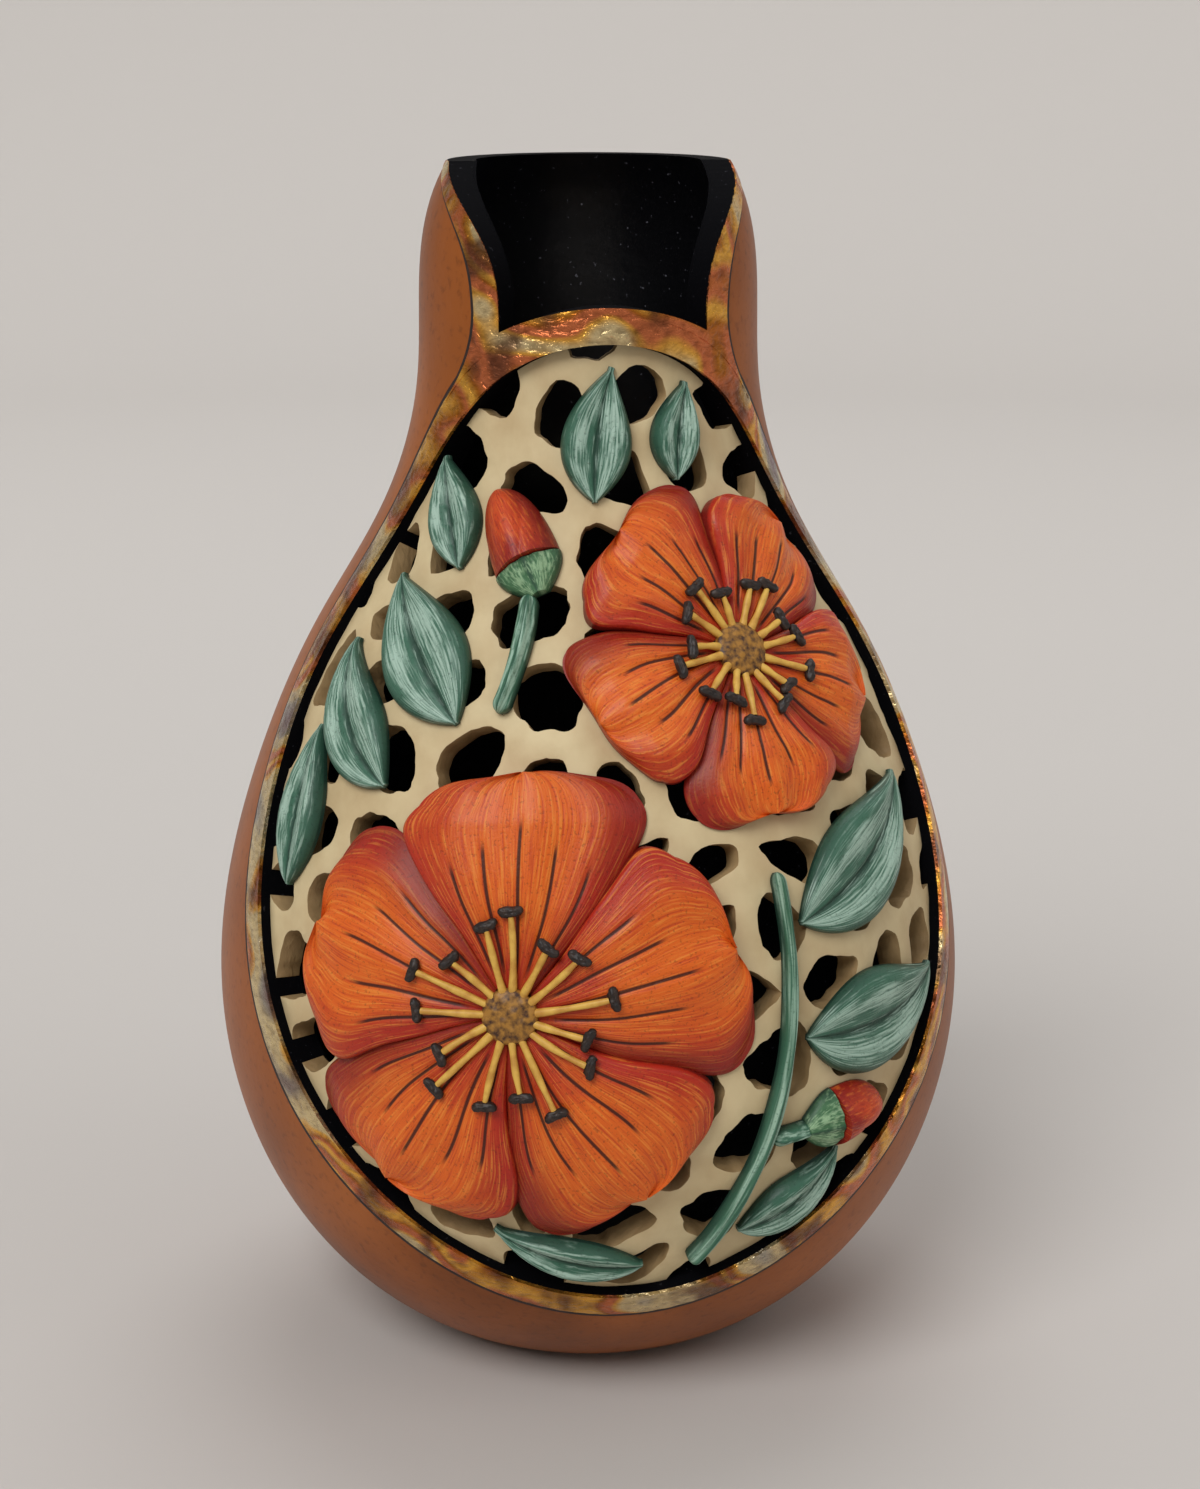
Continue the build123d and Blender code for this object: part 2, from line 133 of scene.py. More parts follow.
# How finely the skin is measured
CURVE_STEPS = 1500
CURVE_OVERRUN = 30.0
CHART_RADIUS = 62.0
SETTLE_ROUNDS = 6
WALK_STEPS = 240
WINDOW_POINTS = 420
SCOOP_ROWS = 48
SCOOP_FOOT_ROWS = 14

# Height of a staggered row as a share of the spacing
ROW_PITCH = 0.87

# Distance in metres below which points of a rolled grid are merged
ROLL_WELD = 1e-6


class Slot(Enum):
    """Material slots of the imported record."""

    SKIN = "shell_skin"
    BLACK = "black_lining"
    GILT = "gilt_leaf"
    CREAM = "fretwork_cream"
    PETAL = "petal_orange"
    SEED = "seed_head_ochre"
    FILAMENT = "filament_yellow"
    ANTHER = "anther_black"
    CALYX = "calyx_green"
    BUD = "bud_red"
    LEAF = "leaf_green"
    STEM = "stem_green"


class Skin:
    """The gourd's outer surface, with everything that is measured on it."""

    def __init__(self) -> None:
        """Run a smooth curve through the profile's points and keep it as a dense table."""
        points = np.array(PROFILE)
        steps = np.hypot(*np.diff(points, axis=0).T)
        places = np.concatenate([[0.0], np.cumsum(steps)])
        dense = np.linspace(0.0, places[-1], CURVE_STEPS)
        radii = self._curve(places, points[:, 0], dense)
        heights = self._curve(places, points[:, 1], dense)
        low = (radii[1] - radii[0]) / (heights[1] - heights[0])
        high = (radii[-1] - radii[-2]) / (heights[-1] - heights[-2])
        below = radii[0] - CURVE_OVERRUN * low
        above = radii[-1] + CURVE_OVERRUN * high
        self._heights = np.concatenate([[-CURVE_OVERRUN], heights, [HEIGHT + CURVE_OVERRUN]])
        self._radii = np.concatenate([[below], radii, [above]])
        strides = np.hypot(np.diff(self._radii), np.diff(self._heights))
        self._along = np.concatenate([[0.0], np.cumsum(strides)])

    @staticmethod
    def _curve(places: np.ndarray, values: np.ndarray, wanted: np.ndarray) -> np.ndarray:
        """Cubic curve through values at places, its end spans sharing their neighbours' cubics.

        Args:
            places: Rising positions of the known values.
            values: Known values.
            wanted: Positions to read.

        Returns:
            Values at the wanted positions.
        """
        count = len(places)
        gaps = np.diff(places)
        slopes = np.diff(values) / gaps
        system = np.zeros((count, count))
        known = np.zeros(count)
        for i in range(1, count - 1):
            system[i, i - 1 : i + 2] = gaps[i - 1], 2 * (gaps[i - 1] + gaps[i]), gaps[i]
            known[i] = 6 * (slopes[i] - slopes[i - 1])
        system[0, :3] = gaps[1], -(gaps[0] + gaps[1]), gaps[0]
        system[-1, -3:] = gaps[-1], -(gaps[-2] + gaps[-1]), gaps[-2]
        bends = np.linalg.solve(system, known)
        i = np.clip(np.searchsorted(places, wanted) - 1, 0, count - 2)
        past = wanted - places[i]
        left = places[i + 1] - wanted
        cubic = (bends[i] * left**3 + bends[i + 1] * past**3) / (6 * gaps[i])
        start = (values[i] / gaps[i] - bends[i] * gaps[i] / 6) * left
        end = (values[i + 1] / gaps[i] - bends[i + 1] * gaps[i] / 6) * past
        return cubic + start + end

    def radius(self, height: np.ndarray) -> np.ndarray:
        """Radius of the skin at heights."""
        return np.interp(height, self._heights, self._radii)

    def slope(self, height: np.ndarray) -> np.ndarray:
        """Change of radius per millimetre of height."""
        return self.radius(np.asarray(height) + 0.5) - self.radius(np.asarray(height) - 0.5)

    def chart(self, angle: np.ndarray, height: np.ndarray) -> np.ndarray:
        """Flat map of skin places, used to triangulate sheets."""
        around = np.radians(angle) * CHART_RADIUS
        return np.stack([around, np.interp(height, self._heights, self._along)], -1)

    def unchart(self, flat: np.ndarray) -> tuple[np.ndarray, np.ndarray]:
        """Angle and height of points of the flat map."""
        return np.degrees(flat[:, 0] / CHART_RADIUS), np.interp(flat[:, 1], self._along, self._heights)

    def frames(self, angle: np.ndarray, height: np.ndarray) -> tuple[np.ndarray, ...]:
        """Local axes on the skin.

        Args:
            angle: Angles in degrees.
            height: Heights in millimetres, of the same shape.

        Returns:
            Arrays of points and of sideways, upward and outward unit vectors.
        """
        turn = np.radians(np.asarray(angle, dtype=float))
        height = np.asarray(height, dtype=float)
        radius = self.radius(height)
        level = np.zeros_like(radius)
        point = np.stack([radius * np.sin(turn), -radius * np.cos(turn), height], -1)
        sideways = np.stack([np.cos(turn), np.sin(turn), level], -1)
        outward = np.stack([np.sin(turn), -np.cos(turn), -self.slope(height)], -1)
        outward = outward / np.linalg.norm(outward, axis=-1, keepdims=True)
        return point, sideways, np.cross(outward, sideways), outward

    def lifted(self, angle: np.ndarray, height: np.ndarray, lift: np.ndarray) -> np.ndarray:
        """Points a lift above the skin."""
        point, _, _, outward = self.frames(angle, height)
        return point + outward * np.asarray(lift)[..., None]

    def settled(self, start: np.ndarray, outward: np.ndarray) -> np.ndarray:
        """Distance along outward vectors from points to the skin.

        Args:
            start: Array (..., 3) of points near the skin.
            outward: Matching unit vectors.

        Returns:
            Distances, negative where a point lies above the skin.
        """
        drop = np.zeros(start.shape[:-1])
        for _ in range(SETTLE_ROUNDS):
            here = start + outward * drop[..., None]
            reach = np.hypot(here[..., 0], here[..., 1])
            normal = np.stack([here[..., 0] / reach, here[..., 1] / reach, -self.slope(here[..., 2])], -1)
            drop = drop - (reach - self.radius(here[..., 2])) / np.sum(normal * outward, -1)
        return drop

    def across(self, stations: np.ndarray, offset: np.ndarray, lift: np.ndarray) -> np.ndarray:
        """Points beside stations, each in the plane square to its station's heading.

        Args:
            stations: Array (..., 3) of angle, height and heading.
            offset: Distances to the left of the heading.
            lift: Distances above the skin.

        Returns:
            Array (..., 3) of points.
        """
        point, sideways, upward, outward = self.frames(stations[..., 0], stations[..., 1])
        turn = np.radians(stations[..., 2])[..., None]
        along = sideways * np.cos(turn) + upward * np.sin(turn)
        start = point + np.cross(outward, along) * offset[..., None]
        return start + outward * (self.settled(start, outward) + lift)[..., None]

    def walk(self, angle: float, height: float, heading: float, length: float, bend: float) -> "Path":
        """A line that runs straight over the skin but for an even bend.

        Args:
            angle: Angle of the start.
            height: Height of the start.
            heading: Direction at the start, in degrees from level right.
            length: Length of the line.
            bend: Turn to the left over the whole length.

        Returns:
            The path, which can be read at any distance.
        """
        stride = length / WALK_STEPS
        rows = [(angle, height, heading)]
        for _ in range(WALK_STEPS):
            turn = math.radians(heading)
            slope = float(self.slope(height))
            slant = math.hypot(1, slope)
            around = stride * math.cos(turn) / float(self.radius(height))
            angle += math.degrees(around)
            heading += bend / WALK_STEPS + math.degrees(around * slope / slant)
            height += stride * math.sin(turn) / slant
            rows.append((angle, height, heading))
        return Path(np.linspace(0.0, length, WALK_STEPS + 1), np.array(rows))

    def window(self, outset: float, count: int = WINDOW_POINTS) -> np.ndarray:
        """Outline of the window.

        Args:
            outset: Distance by which the outline is moved outwards.
            count: Number of points.

        Returns:
            Array (count, 2) of angles and heights.
        """
        turn = np.linspace(0.0, 2 * math.pi, count, endpoint=False)
        rise = np.sin(turn)
        crown = WINDOW_WIDEST + (WINDOW_TOP - WINDOW_WIDEST) * np.abs(rise) ** (2 / WINDOW_CROWN_POWER)
        toe = WINDOW_WIDEST - (WINDOW_WIDEST - WINDOW_BOTTOM) * np.abs(rise) ** (2 / WINDOW_TOE_POWER)
        plain = np.stack([WINDOW_HALF_ANGLE * np.cos(turn), np.where(rise >= 0, crown, toe)], -1)
        return self.moved(plain, outset)

    def moved(self, plain: np.ndarray, outset: float) -> np.ndarray:
        """A closed outline moved square to itself over the skin.

        Args:
            plain: Array (count, 2) of angles and heights.
            outset: Distance outwards.

        Returns:
            The moved outline, of the same shape.
        """
        point, _, _, outward = self.frames(plain[:, 0], plain[:, 1])
        along = np.roll(point, -1, axis=0) - np.roll(point, 1, axis=0)
        along = along / np.linalg.norm(along, axis=-1, keepdims=True)
        return self.places(point + np.cross(along, outward) * outset)

    @staticmethod
    def places(points: np.ndarray) -> np.ndarray:
        """Angles and heights of an array (count, 3) of points."""
        return np.stack([np.degrees(np.arctan2(points[:, 0], -points[:, 1])), points[:, 2]], -1)

    def scoop(self, outset: float, drop: float, rise: float) -> np.ndarray:
        """Outline of the scoop from its left top round the lower edge to its right top.

        Args:
            outset: Distance by which the sides are moved outwards.
            drop: Depth of the flared foot under the sides, or 0 for none.
            rise: Height of the arch of the lower edge.

        Returns:
            Array (count, 2) of angles and heights.
        """
        share = np.linspace(0.0, SCOOP_OVERRUN, SCOOP_ROWS)
        flare = SCOOP_FLARE * share**SCOOP_FLARE_POWER
        angle = SCOOP_HALF_ANGLE + flare + math.degrees(outset / NECK_RADIUS)
        height = SCOOP_CORNER_HEIGHT + (HEIGHT - SCOOP_CORNER_HEIGHT) * share
        right = np.stack([angle, height], -1)
        if drop:
            fall = np.linspace(1.0, 0.0, SCOOP_FOOT_ROWS)
            foot = np.stack([angle[0] + SCOOP_FOOT_FLARE * fall**2, SCOOP_FOOT_TOP - drop * fall], -1)
            right = np.concatenate([foot, right[height > SCOOP_FOOT_TOP + SCOOP_FOOT_CLEARANCE]])
        left = right[::-1] * (-1.0, 1.0)
        sweep = np.linspace(-1.0, 1.0, SCOOP_ROWS + 1)[1:-1]
        arch = np.stack([right[0, 0] * sweep, right[0, 1] + rise * (1 - sweep**2)], -1)
        return np.concatenate([left, arch, right])


@dataclass
class Path:
    """Stations (angle, height, heading) along a line on the skin."""

    distances: np.ndarray
    rows: np.ndarray

    def at(self, distance: np.ndarray) -> np.ndarray:
        """Stations at distances from the start."""
        columns = [np.interp(distance, self.distances, self.rows[:, k]) for k in range(3)]
        return np.stack(columns, -1)


SKIN = Skin()


def wall_at(height: np.ndarray) -> np.ndarray:
    """Wall thickness at heights: even up to the shoulder, then thinning to the mouth."""
    share = np.clip((np.asarray(height) - SHOULDER_HEIGHT) / (HEIGHT - SHOULDER_HEIGHT), 0.0, 1.0)
    return WALL + (MOUTH_WALL - WALL) * share


def throat_lift(distance: np.ndarray) -> np.ndarray:
    """Lift of a petal's face near the blossom's centre."""
    return THROAT_LIFT + THROAT_RISE * np.minimum(distance / THROAT_REACH, 1.0)


def linear(code: str) -> tuple[float, float, float, float]:
    """Linear colour of a screen colour.

    Args:
        code: Six-digit screen colour such as B5744A.

    Returns:
        Red, green and blue, and 1 for full cover.
    """
    shares = [int(code[i : i + 2], 16) / 255 for i in (0, 2, 4)]
    plain = [s / 12.92 if s <= 0.04045 else ((s + 0.055) / 1.055) ** 2.4 for s in shares]
    return plain[0], plain[1], plain[2], 1.0


class Shader:
    """A material under construction, with short calls for the nodes it needs."""

    def __init__(self, name: str) -> None:
        """Start a material that has only a Principled shader.

        Args:
            name: Name of the material.
        """
        self.material = bpy.data.materials.new(name)
        self.material.use_nodes = True
        self.tree = self.material.node_tree
        self.surface = self.tree.nodes["Principled BSDF"]

    def put(self, socket: bpy.types.NodeSocket, value: object) -> None:
        """Link or set one input.

        Args:
            socket: The input.
            value: A socket to link, or a plain value to set.
        """
        if isinstance(value, bpy.types.NodeSocket):
            self.tree.links.new(value, socket)
        else:
            socket.default_value = value

    def add(self, kind: str, inputs: dict, **settings: object) -> bpy.types.Node:
        """Add a node.

        Args:
            kind: Node type without its ShaderNode prefix.
            inputs: Values or sockets by input name or number.
            **settings: Attributes of the node.

        Returns:
            The node.
        """
        node = self.tree.nodes.new(f"ShaderNode{kind}")
        for key, value in settings.items():
            setattr(node, key, value)
        for key, value in inputs.items():
            self.put(node.inputs[key], value)
        return node

    def shade(self, **inputs: object) -> None:
        """Set the Principled shader's inputs, with underscores for spaces."""
        for key, value in inputs.items():
            self.put(self.surface.inputs[key.replace("_", " ")], value)

    def place(self) -> bpy.types.NodeSocket:
        """Object coordinates."""
        return self.add("TexCoord", {}).outputs["Object"]

    def attribute(self, name: str) -> bpy.types.NodeSocket:
        """Vector stored on the mesh."""
        return self.add("Attribute", {}, attribute_name=name).outputs["Vector"]

    def parts(self, vector: bpy.types.NodeSocket) -> list[bpy.types.NodeSocket]:
        """The three numbers of a vector."""
        return list(self.add("SeparateXYZ", {0: vector}).outputs)

    def stretched(self, vector: bpy.types.NodeSocket, scale: Sequence[float]) -> bpy.types.NodeSocket:
        """A vector multiplied axis by axis."""
        return self.add("VectorMath", {0: vector, 1: scale}, operation="MULTIPLY").outputs[0]

    def vector(self, *numbers: bpy.types.NodeSocket) -> bpy.types.NodeSocket:
        """A vector from three numbers."""
        return self.add("CombineXYZ", dict(enumerate(numbers))).outputs[0]

    def noise(
        self, vector: bpy.types.NodeSocket, scale: float, detail: float = 3.0, bend: float = 0.0
    ) -> bpy.types.NodeSocket:
        """Soft noise between 0 and 1."""
        inputs = {"Vector": vector, "Scale": scale, "Detail": detail, "Distortion": bend}
        return self.add("TexNoise", inputs).outputs["Fac"]

    def sums(self, operation: str, first: object, second: object = 0.0) -> bpy.types.NodeSocket:
        """One step of arithmetic on values or sockets."""
        return self.add("Math", {0: first, 1: second}, operation=operation).outputs[0]

    def times(self, first: object, second: object) -> bpy.types.NodeSocket:
        """Product of two values."""
        return self.sums("MULTIPLY", first, second)

    def plus(self, first: object, second: object) -> bpy.types.NodeSocket:
        """Sum of two values."""
        return self.sums("ADD", first, second)

    def minus(self, first: object, second: object) -> bpy.types.NodeSocket:
        """Difference of two values."""
        return self.sums("SUBTRACT", first, second)

    def size(self, value: object) -> bpy.types.NodeSocket:
        """A value without its sign."""
        return self.sums("ABSOLUTE", value)

    def ramp(self, value: bpy.types.NodeSocket, stops: Sequence[tuple[float, str]]) -> bpy.types.NodeSocket:
        """Colours along a value.

        Args:
            value: Socket between 0 and 1.
            stops: Positions with six-digit colours, rising.

        Returns:
            Colour socket.
        """
        node = self.add("ValToRGB", {0: value})
        bar = node.color_ramp
        while len(bar.elements) < len(stops):
            bar.elements.new(0.5)
        for element, (position, code) in zip(bar.elements, stops):
            element.position = position
            element.color = linear(code)
        return node.outputs[0]

    def between(self, value: bpy.types.NodeSocket, low: float, high: float) -> bpy.types.NodeSocket:
        """0 below one value and 1 above another, smooth in between."""
        inputs = {"Value": value, "From Min": low, "From Max": high}
        return self.add("MapRange", inputs, interpolation_type="SMOOTHSTEP").outputs[0]

    def mix(self, share: object, first: object, second: object, blend: str = "MIX") -> bpy.types.NodeSocket:
        """Two colours blended by a share."""
        node = self.add("Mix", {0: share, 6: first, 7: second}, data_type="RGBA", blend_type=blend)
        return node.outputs[2]

    def bump(self, height: bpy.types.NodeSocket, strength: float, depth: float) -> None:
        """Fine relief.

        Args:
            height: Socket between 0 and 1.
            strength: Share of the relief that shows.
            depth: Depth in millimetres.
        """
        node = self.add("Bump", {"Height": height, "Strength": strength, "Distance": depth * MM})
        self.put(self.surface.inputs["Normal"], node.outputs[0])


@dataclass(frozen=True)
class Finish:
    """A named finish. Subclasses say how it is painted."""

    name: str

    def material(self) -> bpy.types.Material:
        """Build the material.

        Returns:
            The painted material.
        """
        shader = Shader(self.name)
        self.paint(shader)
        return shader.material

    def paint(self, shader: Shader) -> None:
        """Add the finish to a material under construction."""
        raise NotImplementedError


@dataclass(frozen=True)
class DyedSkin(Finish):
    """Satin brown dyed gourd skin with soft mottling."""

    name: str = "dyed_skin"
    pale: str = "A85E25"
    middle: str = "94501D"
    deep: str = "7B4116"
    fleck: str = "47220F"
    flecked: float = 0.32

    def paint(self, shader: Shader) -> None:
        """Mottle the skin and fleck it with a fine grain.

        Args:
            shader: Material under construction.
        """
        place = shader.place()
        cloud = shader.noise(shader.stretched(place, (1.0, 1.0, 0.6)), scale=24.0, detail=6.0, bend=0.5)
        colour = shader.ramp(cloud, ((0.3, self.deep), (0.5, self.middle), (0.72, self.pale)))
        grain = shader.noise(place, scale=520.0, detail=4.0)
        flecks = shader.times(shader.between(grain, low=0.52, high=0.75), self.flecked)
        shader.shade(
            Base_Color=shader.mix(flecks, colour, linear(self.fleck)),
            Roughness=0.5,
            Specular_IOR_Level=0.15,
            Coat_Weight=0.18,
            Coat_Roughness=0.22,
        )
        shader.bump(grain, strength=0.25, depth=0.25)


@dataclass(frozen=True)
class BlackPaint(Finish):
    """Black paint of the inside and the cut walls, with grey specks that are partly real dirt and partly
    painted glints.
    """

    roughness: float
    shine: float
    dust_and_glint_share: float
    colour: str = "08080B"
    # Colour of the specks, which are real dirt and painted glints alike
    dust_and_glint: str = "7C7C86"

    def paint(self, shader: Shader) -> None:
        """Paint it black and strew grey specks over it, partly real dirt and partly painted glints.

        Args:
            shader: Material under construction.
        """
        place = shader.place()
        # Specks on the black that are partly real dirt and partly painted glints
        specks = shader.between(shader.noise(place, scale=900.0, detail=2.0), low=0.69, high=0.76)
        dust_and_glint_mask = shader.times(specks, self.dust_and_glint_share)
        colour = shader.mix(dust_and_glint_mask, linear(self.colour), linear(self.dust_and_glint))
        shader.shade(Base_Color=colour, Roughness=self.roughness, Specular_IOR_Level=self.shine)
        shader.bump(shader.noise(place, scale=260.0, detail=4.0), strength=0.3, depth=0.5)


@dataclass(frozen=True)
class GiltLeaf(Finish):
    """Variegated metal leaf: gold, copper, champagne and greys in soft flames, crinkled all over, with
    painted shade in every crease.
    """

    name: str = "gilt_leaf"
    gold: str = "EDB048"
    amber: str = "B36A20"
    copper: str = "CF7448"
    champagne: str = "E2CB98"
    silver: str = "ACA495"
    plum: str = "80606A"
    tarnish: str = "6B3F2C"
    # Colour of the painted shade laid in each crease of the crinkle
    crease: str = "74604A"
    tarnished: float = 0.85
    crease_shading: float = 0.4

    def paint(self, shader: Shader) -> None:
        """Lay the flames, dull them in clouds and darken each crease with painted shade.

        Args:
            shader: Material under construction.
        """
        place = shader.place()
        flame = shader.noise(place, scale=32.0, detail=1.5, bend=0.25)
        stops = (
            (0.29, self.plum),
            (0.33, self.silver),
            (0.36, self.champagne),
            (0.40, self.champagne),
            (0.415, self.gold),
            (0.445, self.amber),
            (0.465, self.copper),
            (0.485, self.gold),
            (0.50, self.gold),
            (0.52, self.amber),
            (0.535, self.copper),
            (0.565, self.copper),
            (0.58, self.gold),
            (0.60, self.champagne),
            (0.64, self.champagne),
            (0.66, self.silver),
            (0.71, self.plum),
        )
        crinkle = shader.noise(shader.stretched(place, (1.0, 1.0, 1.6)), scale=420.0, detail=7.0, bend=0.4)
        # Painted shade: where the crinkle sinks, the leaf is darkened towards the crease colour
        crease_shade = shader.ramp(crinkle, ((0.34, self.crease), (0.54, "FFFFFF")))
        clouds = shader.noise(shader.stretched(place, (1.3, 1.0, 0.9)), scale=58.0, detail=2.0, bend=0.4)
        dulled = shader.times(shader.between(clouds, low=0.5, high=0.66), self.tarnished)
        colour = shader.mix(dulled, shader.ramp(flame, stops), linear(self.tarnish))
        colour = shader.mix(self.crease_shading, colour, crease_shade, "MULTIPLY")
        rough = shader.add("MapRange", {"Value": crinkle, "To Min": 0.12, "To Max": 0.36}).outputs[0]
        shader.shade(Base_Color=colour, Metallic=0.88, Roughness=rough)
        shader.bump(crinkle, strength=1.0, depth=0.7)


@dataclass(frozen=True)
class CarvedWood(Finish):
    """Matt cream paint over carved shell, with fine tool marks."""

    pale: str
    deep: str
    marks: float

    def paint(self, shader: Shader) -> None:
        """Cloud the paint and mark it with the tool.

        Args:
            shader: Material under construction.
        """
        place = shader.place()
        cloud = shader.noise(place, scale=90.0, detail=4.0)
        colour = shader.ramp(cloud, ((0.3, self.deep), (0.65, self.pale)))
        marks = shader.noise(shader.stretched(place, (1.0, 1.0, 0.5)), scale=420.0, detail=4.0, bend=0.5)
        shader.shade(Base_Color=colour, Roughness=0.62)
        shader.bump(marks, strength=self.marks, depth=0.5)


@dataclass(frozen=True)
class Strokes:
    """Sockets that a brushed paint is mixed from."""

    share: bpy.types.NodeSocket
    across: bpy.types.NodeSocket
    breadth: bpy.types.NodeSocket
    phase: bpy.types.NodeSocket
    broad: bpy.types.NodeSocket
    bristle: bpy.types.NodeSocket


@dataclass(frozen=True)
class BrushedPaint(Finish):
    """Paint brushed along a carved piece. Subclasses say how its colours lie.

    The mesh carries two attributes. In brush: share of the length, place across from -1 to 1, and 1 on the
    carved top. In carve: half width here and at the widest in millimetres, and the piece's own phase.
    """

    middle: str
    rim: str
    light: str
    dark: str
    side: str
    porous: float = 0.35
    broad_along: float = 2.2
    broad_across: float = 1.6
    bristle_along: float = 5.0
    bristle_across: float = 1.9
    grain_relief: float = 0.5

    def paint(self, shader: Shader) -> None:
        """Brush the top, paint the sides plain and leave fine dark pores.

        Args:
            shader: Material under construction.
        """
        share, across, top = shader.parts(shader.attribute("brush"))
        breadth, widest, phase = shader.parts(shader.attribute("carve"))
        spread = shader.times(across, widest)
        along = shader.times(share, self.broad_along)
        place = shader.vector(along, shader.times(across, self.broad_across), phase)
        broad = shader.noise(place, scale=1.0, detail=3.0)
        along = shader.times(share, self.bristle_along)
        place = shader.vector(along, shader.times(spread, self.bristle_across), phase)
        bristle = shader.noise(place, scale=1.0, detail=5.0)
        lines = Strokes(share, across, breadth, phase, broad, bristle)
        colour = shader.mix(top, linear(self.side), self.colour(shader, lines))
        grain = shader.noise(shader.place(), scale=1500.0, detail=3.0)
        pores = shader.times(shader.between(grain, low=0.44, high=0.3), self.porous)
        shader.shade(
            Base_Color=shader.mix(pores, colour, linear(self.dark)),
            Roughness=0.44,
            Specular_IOR_Level=0.3,
            Coat_Weight=0.12,
            Coat_Roughness=0.25,
        )
        relief = shader.plus(bristle, shader.times(grain, self.grain_relief))
        shader.bump(relief, strength=0.6, depth=0.35)

    def colour(self, shader: Shader, lines: Strokes) -> bpy.types.NodeSocket:
        """Colour of the carved top."""
        raise NotImplementedError


@dataclass(frozen=True)
class PetalPaint(BrushedPaint):
    """Orange in the middle of a petal, red at its root and rim, with dark engraved veins and painted shade
    along the edge that the next petal laps over.
    """

    veined: bool = True
    inked: float = 0.92
    drifting: float = 0.9
    streaked: float = 0.5
    shaded: float = 0.55
    # Strength of the painted shade along the edge that the next petal laps over
    lapped: float = 0.7
    vein_end: float = 0.78
    vein_step: float = 0.1

    def colour(self, shader: Shader, lines: Strokes) -> bpy.types.NodeSocket:
        """Colour of the carved top.

        Args:
            shader: Material under construction.
            lines: Brush strokes along the petal.

        Returns:
            Colour socket.
        """
        drift = shader.times(shader.minus(lines.broad, 0.5), self.drifting)
        rim = shader.between(shader.plus(shader.size(lines.across), drift), low=0.35, high=1.0)
        root = shader.between(shader.plus(lines.share, drift), low=0.38, high=0.02)
        colour = shader.mix(shader.sums("MAXIMUM", rim, root), linear(self.middle), linear(self.rim))
        pale = shader.times(shader.between(lines.bristle, low=0.5, high=0.68), self.streaked)
        deep = shader.times(shader.between(lines.bristle, low=0.48, high=0.32), self.shaded)
        colour = shader.mix(pale, colour, linear(self.light))
        colour = shader.mix(deep, colour, linear(self.rim))
        # Painted shade: the edge that the next petal laps over is darkened towards the side colour
        covered = shader.between(shader.plus(lines.across, drift), low=-0.45, high=-1.0)
        colour = shader.mix(shader.times(covered, self.lapped), colour, linear(self.side))
        if not self.veined:
            return colour
        return shader.mix(self._veins(shader, lines), colour, linear(self.dark))

    def _veins(self, shader: Shader, lines: Strokes) -> bpy.types.NodeSocket:
        """Engraved lines that wander along the petal and stop short of its end.

        Args:
            shader: Material under construction.
            lines: Brush strokes along the petal.

        Returns:
            Socket between 0 and 1, highest on a line.
        """
        number = shader.sums("ROUND", shader.times(lines.across, VEINS_ACROSS))
        turn = shader.plus(shader.times(lines.share, VEIN_TURN), shader.plus(lines.phase, number))
        wave = shader.times(shader.sums("SINE", turn), VEIN_WAVE)
        home = shader.plus(shader.sums("DIVIDE", number, VEINS_ACROSS), wave)
        away = shader.times(shader.size(shader.minus(lines.across, home)), lines.breadth)
        reach = shader.minus(self.vein_end, shader.times(shader.size(number), self.vein_step))
        begun = shader.between(lines.share, low=0.05, high=0.14)
        unended = shader.between(shader.minus(reach, lines.share), low=0.0, high=0.08)
        inner = shader.between(shader.size(lines.across), low=0.9, high=0.84)
        length = shader.times(shader.times(begun, unended), inner)
        line = shader.times(shader.between(away, low=0.5, high=0.2), length)
        return shader.times(line, self.inked)


@dataclass(frozen=True)
class LeafPaint(BrushedPaint):
    """Green with pale dry-brushed streaks that gather on the crests of the halves, partly as painted
    highlight, and painted shade in the middle groove.
    """

    # Strength of the painted shade along the middle line
    middle_shading: float = 0.7
    streaked: float = 0.85
    crest: float = 0.48
    edge_drift: float = 0.5
    # Share by which the streaks gather on the crests, partly real dry brush and partly painted highlight
    crest_brush_and_highlight_share: float = 0.5
    dry_drift: float = 0.7

    def colour(self, shader: Shader, lines: Strokes) -> bpy.types.NodeSocket:
        """Colour of the carved top.

        Args:
            shader: Material under construction.
            lines: Brush strokes along the piece.

        Returns:
            Colour socket.
        """
        apart = shader.size(lines.across)
        drift = shader.minus(lines.broad, 0.5)
        ragged = shader.plus(apart, shader.times(drift, self.edge_drift))
        edge = shader.between(ragged, low=0.72, high=1.05)
        colour = shader.mix(edge, linear(self.middle), linear(self.rim))
        # Painted shade: the middle line, where a leaf has its groove, is darkened towards the dark colour
        middle_shade = shader.times(shader.between(apart, low=0.16, high=0.02), self.middle_shading)
        colour = shader.mix(middle_shade, colour, linear(self.dark))
        # Pale streaks, partly real dry brush and partly painted highlight, gathering on the crests of the
        # halves
        crest_brush_and_highlight = shader.minus(0.5, shader.size(shader.minus(apart, self.crest)))
        dry = shader.plus(lines.bristle, shader.times(shader.minus(crest_brush_and_highlight, 0.3), self.crest_brush_and_highlight_share))
        dry = shader.plus(dry, shader.times(drift, self.dry_drift))
        streaks = shader.times(shader.between(dry, low=0.38, high=0.7), self.streaked)
        return shader.mix(streaks, colour, linear(self.light))


